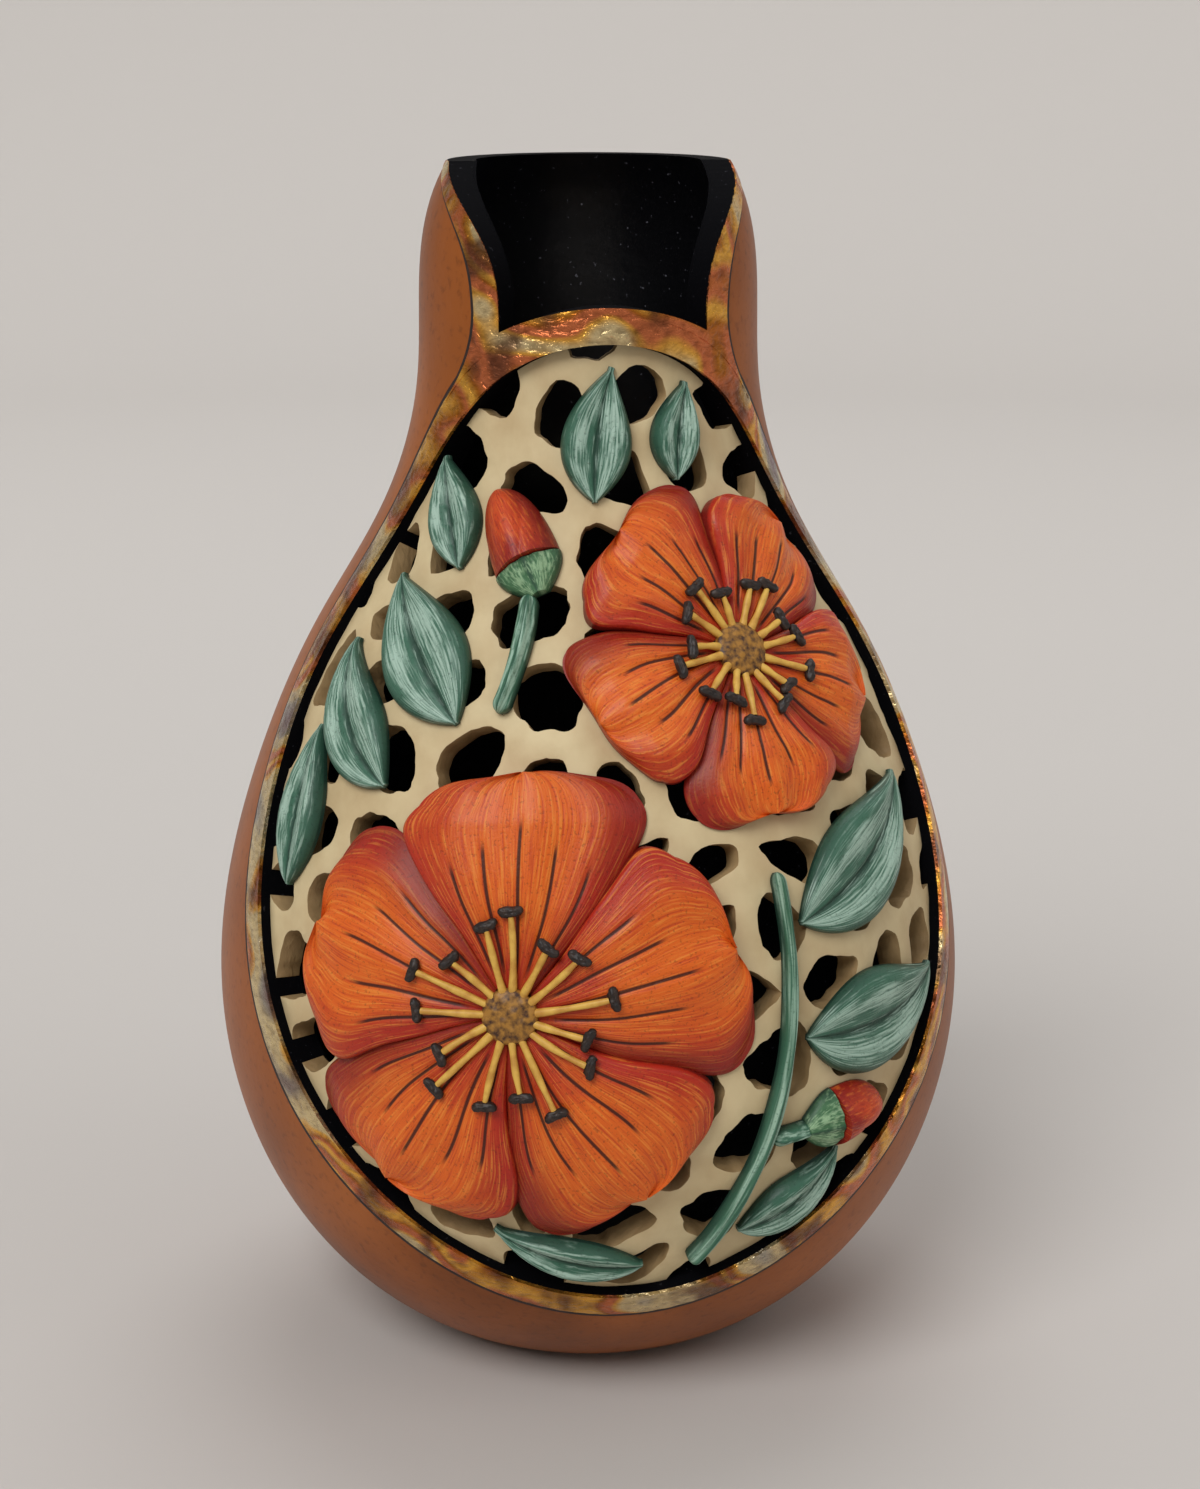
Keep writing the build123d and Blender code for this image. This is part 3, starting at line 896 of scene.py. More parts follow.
@dataclass(frozen=True)
class PlainPaint(Finish):
    """One colour of paint with a little unevenness."""

    colour: str
    shade: str
    roughness: float = 0.5
    scale: float = 300.0

    def paint(self, shader: Shader) -> None:
        """Cloud the paint between its two colours.

        Args:
            shader: Material under construction.
        """
        cloud = shader.noise(shader.place(), scale=self.scale, detail=4.0)
        colour = shader.ramp(cloud, ((0.35, self.shade), (0.62, self.colour)))
        shader.shade(Base_Color=colour, Roughness=self.roughness)
        shader.bump(cloud, strength=0.3, depth=0.3)


@dataclass(frozen=True)
class Palette:
    """Every material of the vase."""

    skin: bpy.types.Material
    black: bpy.types.Material
    lining: bpy.types.Material
    burnt: bpy.types.Material
    gilt: bpy.types.Material
    cream: bpy.types.Material
    tan: bpy.types.Material
    petal: bpy.types.Material
    bud: bpy.types.Material
    leaf: bpy.types.Material
    stem: bpy.types.Material
    calyx: bpy.types.Material
    seed: bpy.types.Material
    filament: bpy.types.Material
    anther: bpy.types.Material

    @classmethod
    def mixed(cls) -> "Palette":
        """Mix the paints.

        Returns:
            The palette.
        """
        return cls(
            skin=DyedSkin().material(),
            black=BlackPaint("black_cut", 0.7, 0.03, 0.12).material(),
            lining=BlackPaint("black_lining", 0.3, 0.5, 0.6).material(),
            burnt=PlainPaint("burnt_line", "2A1710", "1B0F0B", 0.6).material(),
            gilt=GiltLeaf().material(),
            cream=CarvedWood("cream_face", "DAC79C", "C9B186", 0.25).material(),
            tan=CarvedWood("cream_wall", "B3966A", "8F744C", 0.8).material(),
            petal=PetalPaint("petal_paint", "E0651A", "B32A18", "F39A3E", "300D08", "7A1A12").material(),
            bud=PetalPaint(
                "bud_paint", "C8461A", "962218", "E87C30", "38100A", "6A150F", veined=False
            ).material(),
            leaf=LeafPaint("leaf_paint", "3F6B57", "284739", "B3D0C0", "172E25", "1F392E").material(),
            stem=LeafPaint("stem_paint", "3F6C55", "284739", "A8CAB5", "2B4E3F", "1F392E").material(),
            calyx=LeafPaint("calyx_paint", "47744F", "2D4E3A", "9FC298", "234233", "1F392E").material(),
            seed=PlainPaint("seed_head_paint", "A9772C", "3F2212", 0.5, 700.0).material(),
            filament=PlainPaint("filament_paint", "E2B552", "C58F3A").material(),
            anther=PlainPaint("anther_paint", "1A1312", "33241C", 0.5, 900.0).material(),
        )


def alone(piece: bpy.types.Object) -> None:
    """Make a piece the only selected one and the active one.

    Args:
        piece: Object to select.
    """
    bpy.ops.object.select_all(action="DESELECT")
    piece.select_set(True)
    bpy.context.view_layer.objects.active = piece


@contextmanager
def editing(piece: bpy.types.Object) -> Iterator[None]:
    """Edit mode with the whole mesh selected.

    Args:
        piece: Object to edit.

    Yields:
        Nothing; the edits go inside the with block.
    """
    alone(piece)
    bpy.ops.object.mode_set(mode="EDIT")
    bpy.ops.mesh.select_all(action="SELECT")
    yield
    bpy.ops.object.mode_set(mode="OBJECT")


def joined(pieces: Sequence[bpy.types.Object], name: str) -> bpy.types.Object:
    """Join pieces into one.

    Args:
        pieces: Objects to join.
        name: Name of the result.

    Returns:
        The first object, which holds all of them.
    """
    bpy.ops.object.select_all(action="DESELECT")
    for piece in pieces:
        piece.select_set(True)
    bpy.context.view_layer.objects.active = pieces[0]
    bpy.ops.object.join()
    pieces[0].name = name
    return pieces[0]


def smoothed(piece: bpy.types.Object, angle: float) -> bpy.types.Object:
    """Smooth shading, except across sharp edges.

    Args:
        piece: Object to shade.
        angle: Angle in degrees above which an edge stays sharp.

    Returns:
        The same object.
    """
    alone(piece)
    bpy.ops.object.shade_smooth_by_angle(angle=math.radians(angle))
    return piece


def placed(piece: bpy.types.Object, place: Matrix) -> bpy.types.Object:
    """Move a piece and write the move into its mesh.

    Args:
        piece: Object to move.
        place: Its new place.

    Returns:
        The same object.
    """
    piece.matrix_world = place
    alone(piece)
    bpy.ops.object.transform_apply(location=True, rotation=True, scale=True)
    return piece


def ball(segments: int, rings: int, radius: float) -> bpy.types.Object:
    """Add a ball round the origin.

    Args:
        segments: Number of strips round it.
        rings: Number of rings from pole to pole.
        radius: Radius in metres.

    Returns:
        The ball.
    """
    bpy.ops.object.select_all(action="DESELECT")
    bpy.ops.mesh.primitive_uv_sphere_add(segments=segments, ring_count=rings, radius=radius)
    return bpy.context.object


def turned(name: str, line: Sequence[Sequence[float]], steps: int, weld: float) -> bpy.types.Object:
    """Turn a line round the vertical axis.

    Args:
        name: Name of the object.
        line: Points in metres.
        steps: Number of steps round.
        weld: Distance in metres below which points are merged.

    Returns:
        The turned object.
    """
    mesh = bpy.data.meshes.new(name)
    mesh.from_pydata(line, [(i, i + 1) for i in range(len(line) - 1)], [])
    piece = bpy.data.objects.new(name, mesh)
    bpy.context.collection.objects.link(piece)
    with editing(piece):
        bpy.ops.mesh.spin(steps=steps, angle=2 * math.pi, center=(0, 0, 0), axis=(0, 0, 1))
        bpy.ops.mesh.select_all(action="SELECT")
        bpy.ops.mesh.remove_doubles(threshold=weld)
    return piece


def turned_out(piece: bpy.types.Object) -> bpy.types.Object:
    """Make every face look outwards.

    Args:
        piece: Closed object.

    Returns:
        The same object.
    """
    with editing(piece):
        bpy.ops.mesh.normals_make_consistent(inside=False)
    return piece


def modified(piece: bpy.types.Object, kind: str, **settings: object) -> None:
    """Add a modifier and apply it.

    Args:
        piece: Object to work on.
        kind: Modifier type.
        **settings: Its settings.
    """
    alone(piece)
    bpy.ops.object.modifier_add(type=kind)
    modifier = piece.modifiers[-1]
    for key, value in settings.items():
        setattr(modifier, key, value)
    bpy.ops.object.modifier_apply(modifier=modifier.name)


def mesh_piece(name: str, points: np.ndarray, faces: Sequence[Sequence[int]]) -> bpy.types.Object:
    """Object from points and faces.

    Args:
        name: Name of the object.
        points: Array (count, 3) in millimetres.
        faces: Point numbers of each face.

    Returns:
        The object.
    """
    mesh = bpy.data.meshes.new(name)
    mesh.from_pydata((points * MM).tolist(), [], faces)
    piece = bpy.data.objects.new(name, mesh)
    bpy.context.collection.objects.link(piece)
    return piece


def rolled(name: str, points: np.ndarray, marks: dict[str, np.ndarray], ring: bool) -> bpy.types.Object:
    """A grid drawn into shape and closed into a tube, with its ends capped or joined into a ring.

    Args:
        name: Name of the object.
        points: Array (rows, columns, 3) in millimetres, whose first and last columns coincide.
        marks: Matching arrays of vectors by attribute name.
        ring: True if the first and last rows coincide too.

    Returns:
        The closed object.
    """
    rows, columns = points.shape[:2]
    bpy.ops.object.select_all(action="DESELECT")
    bpy.ops.mesh.primitive_grid_add(x_subdivisions=rows - 1, y_subdivisions=columns - 1, size=1.0)
    piece = bpy.context.object
    piece.name = name
    mesh = piece.data
    flat = np.empty(len(mesh.vertices) * 3)
    mesh.vertices.foreach_get("co", flat)
    flat = flat.reshape(-1, 3)
    row = np.rint((flat[:, 0] + 0.5) * (rows - 1)).astype(int)
    column = np.rint((flat[:, 1] + 0.5) * (columns - 1)).astype(int)
    mesh.vertices.foreach_set("co", (points[row, column] * MM).ravel())
    for key, vectors in marks.items():
        layer = mesh.attributes.new(key, "FLOAT_VECTOR", "POINT")
        layer.data.foreach_set("vector", vectors[row, column].ravel())
    mesh.update()
    with editing(piece):
        bpy.ops.mesh.remove_doubles(threshold=ROLL_WELD)
        if not ring:
            bpy.ops.mesh.select_all(action="SELECT")
            bpy.ops.mesh.fill_holes(sides=0)
    return turned_out(piece)


def dressed(
    piece: bpy.types.Object, materials: Sequence[bpy.types.Material], slot: Slot, *nodes: str
) -> None:
    """Give a finished piece its materials and its body, and hide the CAD nodes that it stands for.

    Args:
        piece: The finished piece.
        materials: Its materials in order.
        slot: Material slot of the record. Not used.
        *nodes: CAD nodes that it replaces.
    """
    piece.data.materials.clear()
    for material in materials:
        piece.data.materials.append(material)
    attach(piece, "root")
    if nodes:
        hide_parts(*nodes)
    LOG.info("%s: %d faces for %s", piece.name, len(piece.data.polygons), ", ".join(nodes) or "no node")


@dataclass
class Shell:
    """Gourd shell and its black inside, both turned and then cut open."""

    steps: int = 240
    outer_rows: int = 130
    inner_rows: int = 56
    table_rows: int = 400
    spare_below: float = 16.0
    spare_above: float = 20.0
    skin_inset: float = 0.02
    coat_inset: float = 0.01
    rim_depth: float = 0.01
    inside_depth: float = 1.2
    foot_height: float = 1.0
    weld: float = 2e-6
    crease: float = 35.0
    window_overcut: float = 5.0
    scoop_overcut: float = 8.0
    window_tips: tuple[Sequence[float], ...] = ((0.0, 0.0, 140.0), (0.0, -600.0, 140.0))
    scoop_tips: tuple[Sequence[float], ...] = ((0.0, 0.0, 278.0), (0.0, -400.0, 270.0))

    def build(self, palette: Palette) -> None:
        """Turn, cut and dress the shell and the lining.

        Args:
            palette: Every material of the vase.
        """
        heights = np.linspace(0.0, HEIGHT, self.outer_rows)
        inner = self._side(wall_at, FLOOR)
        lining = self._side(lambda height: wall_at(height) + LINING, FLOOR + LINING)
        outer = np.stack([SKIN.radius(heights) - self.skin_inset, heights], -1)
        shell = self._wall("gourd_shell_skin", outer, inner, 0.0, FLOOR)
        coat = self._wall("inner_coat", inner + (-self.coat_inset, 0.0), lining, FLOOR, FLOOR + LINING)
        cutters = (self._window_cutter(), self._scoop_cutter())
        for cutter in cutters:
            cutter.data.materials.append(palette.black)
        for piece, paint in ((shell, palette.skin), (coat, palette.lining)):
            piece.data.materials.append(paint)
            for cutter in cutters:
                modified(piece, "BOOLEAN", object=cutter, solver="EXACT", material_mode="TRANSFER")
            smoothed(piece, self.crease)
        for cutter in cutters:
            bpy.data.objects.remove(cutter)
        indices = self._inside_black(shell, self._cut_faces(shell, palette.skin))
        dressed(shell, (palette.skin, palette.black), Slot.SKIN, "gourd_shell")
        shell.data.polygons.foreach_set("material_index", indices)
        indices = self._cut_faces(coat, palette.lining)
        dressed(coat, (palette.lining, palette.black), Slot.BLACK, "inner_lining")
        coat.data.polygons.foreach_set("material_index", indices)

    def _cut_faces(self, piece: bpy.types.Object, own: bpy.types.Material) -> list[int]:
        """Tell the cut faces and the level rim from the piece's own surface.

        Args:
            piece: The cut piece.
            own: Material of its own surface.

        Returns:
            Material numbers: 1 on faces that a cutter left and on the level rim, and 0 on all others.
        """
        paints = list(piece.data.materials)
        rim = (HEIGHT - self.rim_depth) * MM
        faces = piece.data.polygons
        return [0 if paints[face.material_index] == own and face.center.z < rim else 1 for face in faces]

    def _inside_black(self, shell: bpy.types.Object, indices: list[int]) -> list[int]:
        """Blacken the inner wall and the floor too.

        Args:
            shell: The cut shell.
            indices: Material numbers of its faces.

        Returns:
            Material numbers with 1 on the inside as well.
        """
        result = []
        for face, index in zip(shell.data.polygons, indices):
            centre = face.center / MM
            reach = math.hypot(centre.x, centre.y)
            deep = reach < float(SKIN.radius(centre.z)) - self.inside_depth
            result.append(1 if deep and centre.z > self.foot_height else index)
        return result

    def _side(self, depth: Callable[[np.ndarray], np.ndarray], floor: float) -> np.ndarray:
        """Side line of the inside, from a floor to the mouth.

        Args:
            depth: Depth below the skin at heights.
            floor: Height of the floor.

        Returns:
            Array (rows, 2) of radii and heights.
        """
        heights = np.linspace(-self.spare_below, HEIGHT + self.spare_above, self.table_rows)
        points = SKIN.lifted(np.full_like(heights, 90.0), heights, -depth(heights))
        wanted = np.linspace(floor, HEIGHT, self.inner_rows)
        return np.stack([np.interp(wanted, points[:, 2], points[:, 0]), wanted], -1)

    def _wall(
        self, name: str, outer: np.ndarray, inner: np.ndarray, low: float, floor: float
    ) -> bpy.types.Object:
        """Closed turned wall between two side lines, with a floor.

        Args:
            name: Name of the object.
            outer: Outer side line.
            inner: Inner side line.
            low: Height of the underside.
            floor: Height of the floor.

        Returns:
            The turned wall.
        """
        line = np.concatenate([[(0.0, low)], outer, inner[::-1], [(0.0, floor)]])
        points = np.stack([np.zeros(len(line)), -line[:, 0], line[:, 1]], -1)
        return turned_out(turned(name, (points * MM).tolist(), self.steps, self.weld))

    @staticmethod
    def _plug(
        name: str, deep: np.ndarray, high: np.ndarray, tips: Sequence[Sequence[float]]
    ) -> bpy.types.Object:
        """Closed cutter between two matching outlines, each capped to a tip.

        Args:
            name: Name of the object.
            deep: Outline inside the shell.
            high: Outline outside the shell.
            tips: Points that the two outlines are capped to.

        Returns:
            The cutter.
        """
        count = len(deep)
        points = np.concatenate([deep, high, tips])
        faces = []
        for i in range(count):
            k = (i + 1) % count
            faces.append((i, k, count + k, count + i))
            faces.append((k, i, 2 * count))
            faces.append((count + i, count + k, 2 * count + 1))
        return turned_out(mesh_piece(name, points, faces))

    def _window_cutter(self) -> bpy.types.Object:
        """Plug of the window, square to the skin.

        Returns:
            The cutter.
        """
        outline = SKIN.window(0.0)
        rings = []
        for lift in (-2 * WALL, self.window_overcut):
            rings.append(SKIN.lifted(outline[:, 0], outline[:, 1], np.full(len(outline), lift)))
        return self._plug("window_cutter", *rings, self.window_tips)

    def _scoop_cutter(self) -> bpy.types.Object:
        """Plug of the scoop, level all round.

        Returns:
            The cutter.
        """
        outline = SKIN.scoop(0.0, 0.0, SCOOP_ARCH_RISE)
        turn = np.radians(outline[:, 0])
        rings = []
        for lift in (-2 * WALL, self.scoop_overcut):
            reach = SKIN.radius(outline[:, 1]) + lift
            rings.append(np.stack([reach * np.sin(turn), -reach * np.cos(turn), outline[:, 1]], -1))
        return self._plug("scoop_cutter", *rings, self.scoop_tips)


@dataclass
class SkinSheet:
    """A sheet that follows the gourd between two lifts, with an outline and openings."""

    name: str
    outlines: list[np.ndarray]
    cuts: list[np.ndarray]
    spacing: float
    top: Callable[[np.ndarray, np.ndarray], np.ndarray]
    bottom: Callable[[np.ndarray, np.ndarray], np.ndarray]
    wobble: float = 0.0
    wobble_length: float = 6.0
    wobble_slice: float = 3.0
    rim_clearance: float = 0.55
    weld: float = 1e-5

    def build(self) -> bpy.types.Object:
        """Triangulate the sheet and give it thickness.

        Returns:
            The sheet, whose walls and back have the second material.
        """
        flat, triangles = self._triangles()
        angle, height = SKIN.unchart(flat)
        over = SKIN.lifted(angle, height, self.top(angle, height) + self._wobbles(flat))
        under = SKIN.lifted(angle, height, self.bottom(angle, height))
        count = len(flat)
        directed = {(a, b) for t in triangles for a, b in zip(t, (*t[1:], t[0]))}
        rim = [(a, b) for a, b in directed if (b, a) not in directed]
        faces = [tuple(t) for t in triangles]
        faces += [(b, a, count + a, count + b) for a, b in sorted(rim)]
        faces += [tuple(count + i for i in reversed(t)) for t in triangles]
        points = np.concatenate([over, under])
        points[:, 2] = np.minimum(points[:, 2], HEIGHT)
        piece = mesh_piece(self.name, points, faces)
        walls = [0] * len(triangles) + [1] * (len(faces) - len(triangles))
        piece.data.polygons.foreach_set("material_index", walls)
        return piece

    def _wobbles(self, flat: np.ndarray) -> np.ndarray:
        """Small uneven lifts, as a hand leaves them."""
        places = [(x / self.wobble_length, y / self.wobble_length, self.wobble_slice) for x, y in flat]
        return np.array([self.wobble * noise.noise(place) for place in places])

    def _triangles(self) -> tuple[np.ndarray, list[tuple[int, ...]]]:
        """Triangulate the flat map inside the outlines and outside every opening.

        Returns:
            Points of the flat map, and the triangles by their point numbers.
        """
        loops = [SKIN.chart(loop[:, 0], loop[:, 1]) for loop in (*self.outlines, *self.cuts)]
        points = []
        rings = []
        for loop in loops:
            rings.append(list(range(len(points), len(points) + len(loop))))
            points += [Vector(p) for p in loop.tolist()]
        tree = kdtree.KDTree(len(points))
        for i, point in enumerate(points):
            tree.insert((point.x, point.y, 0.0), i)
        tree.balance()
        sheets = len(self.outlines)
        extent = np.concatenate(loops[:sheets])
        low, high = extent.min(0), extent.max(0)
        for j, y in enumerate(np.arange(low[1], high[1], self.spacing * ROW_PITCH)):
            for x in np.arange(low[0] + (j % 2) * self.spacing / 2, high[0], self.spacing):
                if tree.find((x, y, 0.0))[2] > self.rim_clearance * self.spacing:
                    points.append(Vector((x, y)))
        verts, _, faces, _, _, owners = geometry.delaunay_2d_cdt(points, [], rings, 0, self.weld, True)
        kept = [tuple(f) for f, own in zip(faces, owners) if own and max(own) < sheets]
        used = sorted({i for f in kept for i in f})
        number = {old: new for new, old in enumerate(used)}
        return np.array([verts[i][:] for i in used]), [tuple(number[i] for i in f) for f in kept]


@dataclass
class Gilding:
    """Metal leaf round the window and the scoop, with the burnt line that bounds it."""

    rows: int = 560
    columns: int = 13
    spacing: float = 1.6
    leaf_lift: float = 0.28
    leaf_wobble: float = 0.12
    line_lift: float = 0.06
    sheet_depth: float = -0.2
    neck_drop: float = 21.0
    above_angle: float = 150.0
    above_height: float = 20.0
    sheet_crease: float = 50.0
    ring_crease: float = 60.0
    ring_lift: float = 0.3
    ring_depth: float = -0.25
    edge_share: float = 0.45
    crinkle: float = 0.09
    crinkle_lengths: tuple[float, float, float] = (2.0, 4.0, 3.0)
    turn_share: float = 1.3

    def build(self, palette: Palette) -> None:
        """Make and dress the two bands and the line.

        Args:
            palette: Every material of the vase.
        """
        window = smoothed(self._ring("gilt_window_leaf"), self.ring_crease)
        dressed(window, (palette.gilt,), Slot.GILT, "gilt_window_band")
        corners = ((-1.0, 0.0), (1.0, 0.0), (1.0, 1.0), (-1.0, 1.0))
        above = np.array(corners) * (self.above_angle, self.above_height) + (0.0, HEIGHT)
        scoop = SKIN.scoop(0.0, 0.0, SCOOP_ARCH_RISE)
        band = SKIN.window(BAND_WIDTH)
        neck = SKIN.scoop(BAND_WIDTH, self.neck_drop, 0.0)
        lapped = SKIN.window(BAND_WIDTH - LEAF_LAP)
        cuts = [scoop, lapped, above]
        leaf = self._sheet("gilt_neck_leaf", [neck], cuts, self.leaf_lift, self.leaf_wobble)
        dressed(leaf, (palette.gilt,), Slot.GILT, "gilt_neck_band")
        outset = BAND_WIDTH + BURNT_WIDTH
        outer = [SKIN.window(outset), SKIN.scoop(outset, self.neck_drop, 0.0)]
        line = self._sheet("burnt_line", outer, [scoop, band, neck, above], self.line_lift, 0.0)
        dressed(line, (palette.burnt,), Slot.SKIN)

    def _sheet(
        self, name: str, outlines: list[np.ndarray], cuts: list[np.ndarray], lift: float, wobble: float
    ) -> bpy.types.Object:
        """Thin sheet laid on the skin.

        Args:
            name: Name of the object.
            outlines: Outlines as arrays of angles and heights.
            cuts: Outlines of what is cut away.
            lift: Lift of the sheet's face.
            wobble: Unevenness of the face.

        Returns:
            The sheet.
        """
        sheet = SkinSheet(
            name,
            outlines,
            cuts,
            self.spacing,
            lambda angle, height: np.full_like(angle, lift),
            lambda angle, height: np.full_like(angle, self.sheet_depth),
            wobble,
        )
        piece = smoothed(sheet.build(), self.sheet_crease)
        piece.data.polygons.foreach_set("material_index", [0] * len(piece.data.polygons))
        return piece

    def _ring(self, name: str) -> bpy.types.Object:
        """Thin crinkled band round the window, turned over the window's edge.

        Args:
            name: Name of the object.

        Returns:
            The band.
        """
        outsets = np.linspace(-LEAF_EDGE, BAND_WIDTH, self.columns)
        lines = [SKIN.window(outset, self.rows) for outset in outsets]
        layers = []
        for k, line in enumerate(lines):
            arch = math.sin(math.pi * k / (self.columns - 1))
            crown = self.ring_lift * (self.edge_share + (1 - self.edge_share) * arch)
            places = [np.array((a, h, k)) / self.crinkle_lengths for a, h in line]
            crinkle = np.array([self.crinkle * noise.noise(place) for place in places])
            layers.append(SKIN.lifted(line[:, 0], line[:, 1], np.minimum(crown + crinkle, GILT)))
        edge = SKIN.window(-self.turn_share * LEAF_EDGE, self.rows)
        buried = [
            SKIN.lifted(lines[-1][:, 0], lines[-1][:, 1], np.full(self.rows, self.ring_depth)),
            SKIN.lifted(edge[:, 0], edge[:, 1], np.full(self.rows, -LEAF_TURN)),
        ]
        loop = np.stack([*layers, *buried, layers[0]], 1)
        return rolled(name, np.concatenate([loop, loop[:1]]), {}, True)


@dataclass
class Fretwork:
    """Pierced cream panel set back in the window."""

    spacing: float = 2.6
    outline_points: int = 300
    wobble: float = 0.25
    edge_round: float = 0.45
    edge_angle: float = 50.0
    crease: float = 40.0
    solid_share: float = 0.72
    seed: int = 11
    window_margin: float = 0.45
    neighbour_reach: float = 2.6
    corner_cuts: int = 2
    corner_share: float = 0.25
    point_gap: float = 1.0
    least_points: int = 12
    uneven: float = 0.13
    uneven_length: float = 3.2
    uneven_step: float = 1.7

    def build(self, palette: Palette, blossoms: Sequence["Blossom"]) -> None:
        """Cut the panel, round its edges and dress it.

        Args:
            palette: Every material of the vase.
            blossoms: Blossoms, under which the panel stays solid.
        """
        sheet = SkinSheet(
            "fretwork_panel",
            [SKIN.window(-PANEL_GAP, self.outline_points)],
            self._openings(blossoms),
            self.spacing,
            lambda angle, height: np.full_like(angle, -RECESS),
            lambda angle, height: -wall_at(height),
            self.wobble,
        )
        panel = sheet.build()
        limit = math.radians(self.edge_angle)
        modified(
            panel, "BEVEL", width=self.edge_round * MM, segments=2, limit_method="ANGLE", angle_limit=limit
        )
        smoothed(panel, self.crease)
        walls = [face.material_index for face in panel.data.polygons]
        nodes = [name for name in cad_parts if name.startswith("fretwork_")]
        dressed(panel, (palette.cream, palette.tan), Slot.CREAM, *nodes)
        panel.data.polygons.foreach_set("material_index", walls)

    def _seeds(self) -> list[tuple[float, float]]:
        """Scatter the centres of the piercings in staggered rows, from a fixed random start.

        Returns:
            Angles and heights.
        """
        scatter = random.Random(self.seed)
        seeds = []
        height = WINDOW_BOTTOM - CELL
        row = 0
        while height < WINDOW_TOP + CELL:
            pitch = math.degrees(CELL / float(SKIN.radius(height)))
            count = int(2 * (WINDOW_HALF_ANGLE + 2 * pitch) / pitch)
            for i in range(count):
                angle = (i - count / 2 + 0.5 * (row % 2)) * pitch + scatter.uniform(-JITTER, JITTER) * pitch
                seeds.append((angle, height + scatter.uniform(-JITTER, JITTER) * CELL))
            height += CELL * ROW_PITCH / math.hypot(1, float(SKIN.slope(height)))
            row += 1
        return seeds

    @staticmethod
    def _in_window(angle: float, height: float, margin: float) -> bool:
        """Tell whether a place lies inside the window or just outside it.

        Args:
            angle: Angle of the place.
            height: Height of the place.
            margin: Distance outside the window that still counts.

        Returns:
            True if it does.
        """
        if height > WINDOW_WIDEST:
            rise = max((height - WINDOW_WIDEST - margin) / (WINDOW_TOP - WINDOW_WIDEST), 0.0)
            power = WINDOW_CROWN_POWER
        else:
            rise = max((WINDOW_WIDEST - height - margin) / (WINDOW_WIDEST - WINDOW_BOTTOM), 0.0)
            power = WINDOW_TOE_POWER
        spread = WINDOW_HALF_ANGLE * math.sqrt(max(1 - rise**power, 0.0))
        return rise < 1 and abs(angle) < spread + math.degrees(margin / float(SKIN.radius(height)))

    @staticmethod
    def _clipped(
        outline: list[tuple[float, float]], x: float, y: float, limit: float
    ) -> list[tuple[float, float]]:
        """Polygon cut back to the near side of a line.

        Args:
            outline: Corners of the polygon.
            x: First part of the unit vector square to the line.
            y: Second part of that vector.
            limit: Distance of the line from the origin.

        Returns:
            Corners of what is left.
        """
        kept = []
        for i, here in enumerate(outline):
            before = outline[i - 1]
            side_here = here[0] * x + here[1] * y - limit
            side_before = before[0] * x + before[1] * y - limit
            if side_here * side_before < 0:
                share = side_before / (side_before - side_here)
                kept.append(tuple(b + share * (h - b) for b, h in zip(before, here)))
            if side_here <= 0:
                kept.append(here)
        return kept

    def _rounded(self, outline: list[tuple[float, float]], phase: float) -> np.ndarray:
        """Polygon with its corners cut off again and again, then spaced evenly and made a little uneven.

        Args:
            outline: Corners of the polygon.
            phase: Place in the noise that makes it uneven.

        Returns:
            Array (count, 2) of points.
        """
        points = np.array(outline)
        near = 1 - self.corner_share
        far = self.corner_share
        for _ in range(self.corner_cuts):
            after = np.roll(points, -1, axis=0)
            points = np.stack([near * points + far * after, far * points + near * after], 1).reshape(-1, 2)
        closed = np.concatenate([points, points[:1]])
        along = np.concatenate([[0.0], np.cumsum(np.hypot(*np.diff(closed, axis=0).T))])
        count = max(int(along[-1] / self.point_gap), self.least_points)
        wanted = np.linspace(0.0, along[-1], count, endpoint=False)
        ring = np.stack([np.interp(wanted, along, closed[:, k]) for k in range(2)], -1)
        centre = ring.mean(0)
        places = [(x / self.uneven_length, y / self.uneven_length, phase) for x, y in ring]
        uneven = [1 + self.uneven * noise.noise(place) for place in places]
        return centre + (ring - centre) * np.array(uneven)[:, None]

    def _openings(self, blossoms: Sequence["Blossom"]) -> list[np.ndarray]:
        """Work out the piercings.

        Args:
            blossoms: Blossoms, under which nothing is pierced.

        Returns:
            Outlines as arrays of angles and heights.
        """
        seeds = np.array(self._seeds())
        places = SKIN.lifted(seeds[:, 0], seeds[:, 1], np.zeros(len(seeds)))
        _, sideways, upward, outward = SKIN.frames(seeds[:, 0], seeds[:, 1])
        openings = []
        for i, (angle, height) in enumerate(seeds):
            covered = any(b.distance(places[i]) < self.solid_share * b.radius for b in blossoms)
            if covered or not self._in_window(angle, height, self.window_margin * CELL):
                continue
            outline = [(-CELL, -CELL), (CELL, -CELL), (CELL, CELL), (-CELL, CELL)]
            for other in places:
                apart = float(np.linalg.norm(other - places[i]))
                if 0 < apart < self.neighbour_reach * CELL:
                    x = float(np.dot(other - places[i], sideways[i]))
                    y = float(np.dot(other - places[i], upward[i]))
                    flat = math.hypot(x, y)
                    outline = self._clipped(outline, x / flat, y / flat, apart / 2 - STRUT / 2)
            ring = self._rounded(outline, self.uneven_step * i)
            start = places[i] + ring[:, :1] * sideways[i] + ring[:, 1:] * upward[i]
            normal = np.broadcast_to(outward[i], start.shape)
            openings.append(SKIN.places(start + normal * SKIN.settled(start, normal)[:, None]))
        return openings


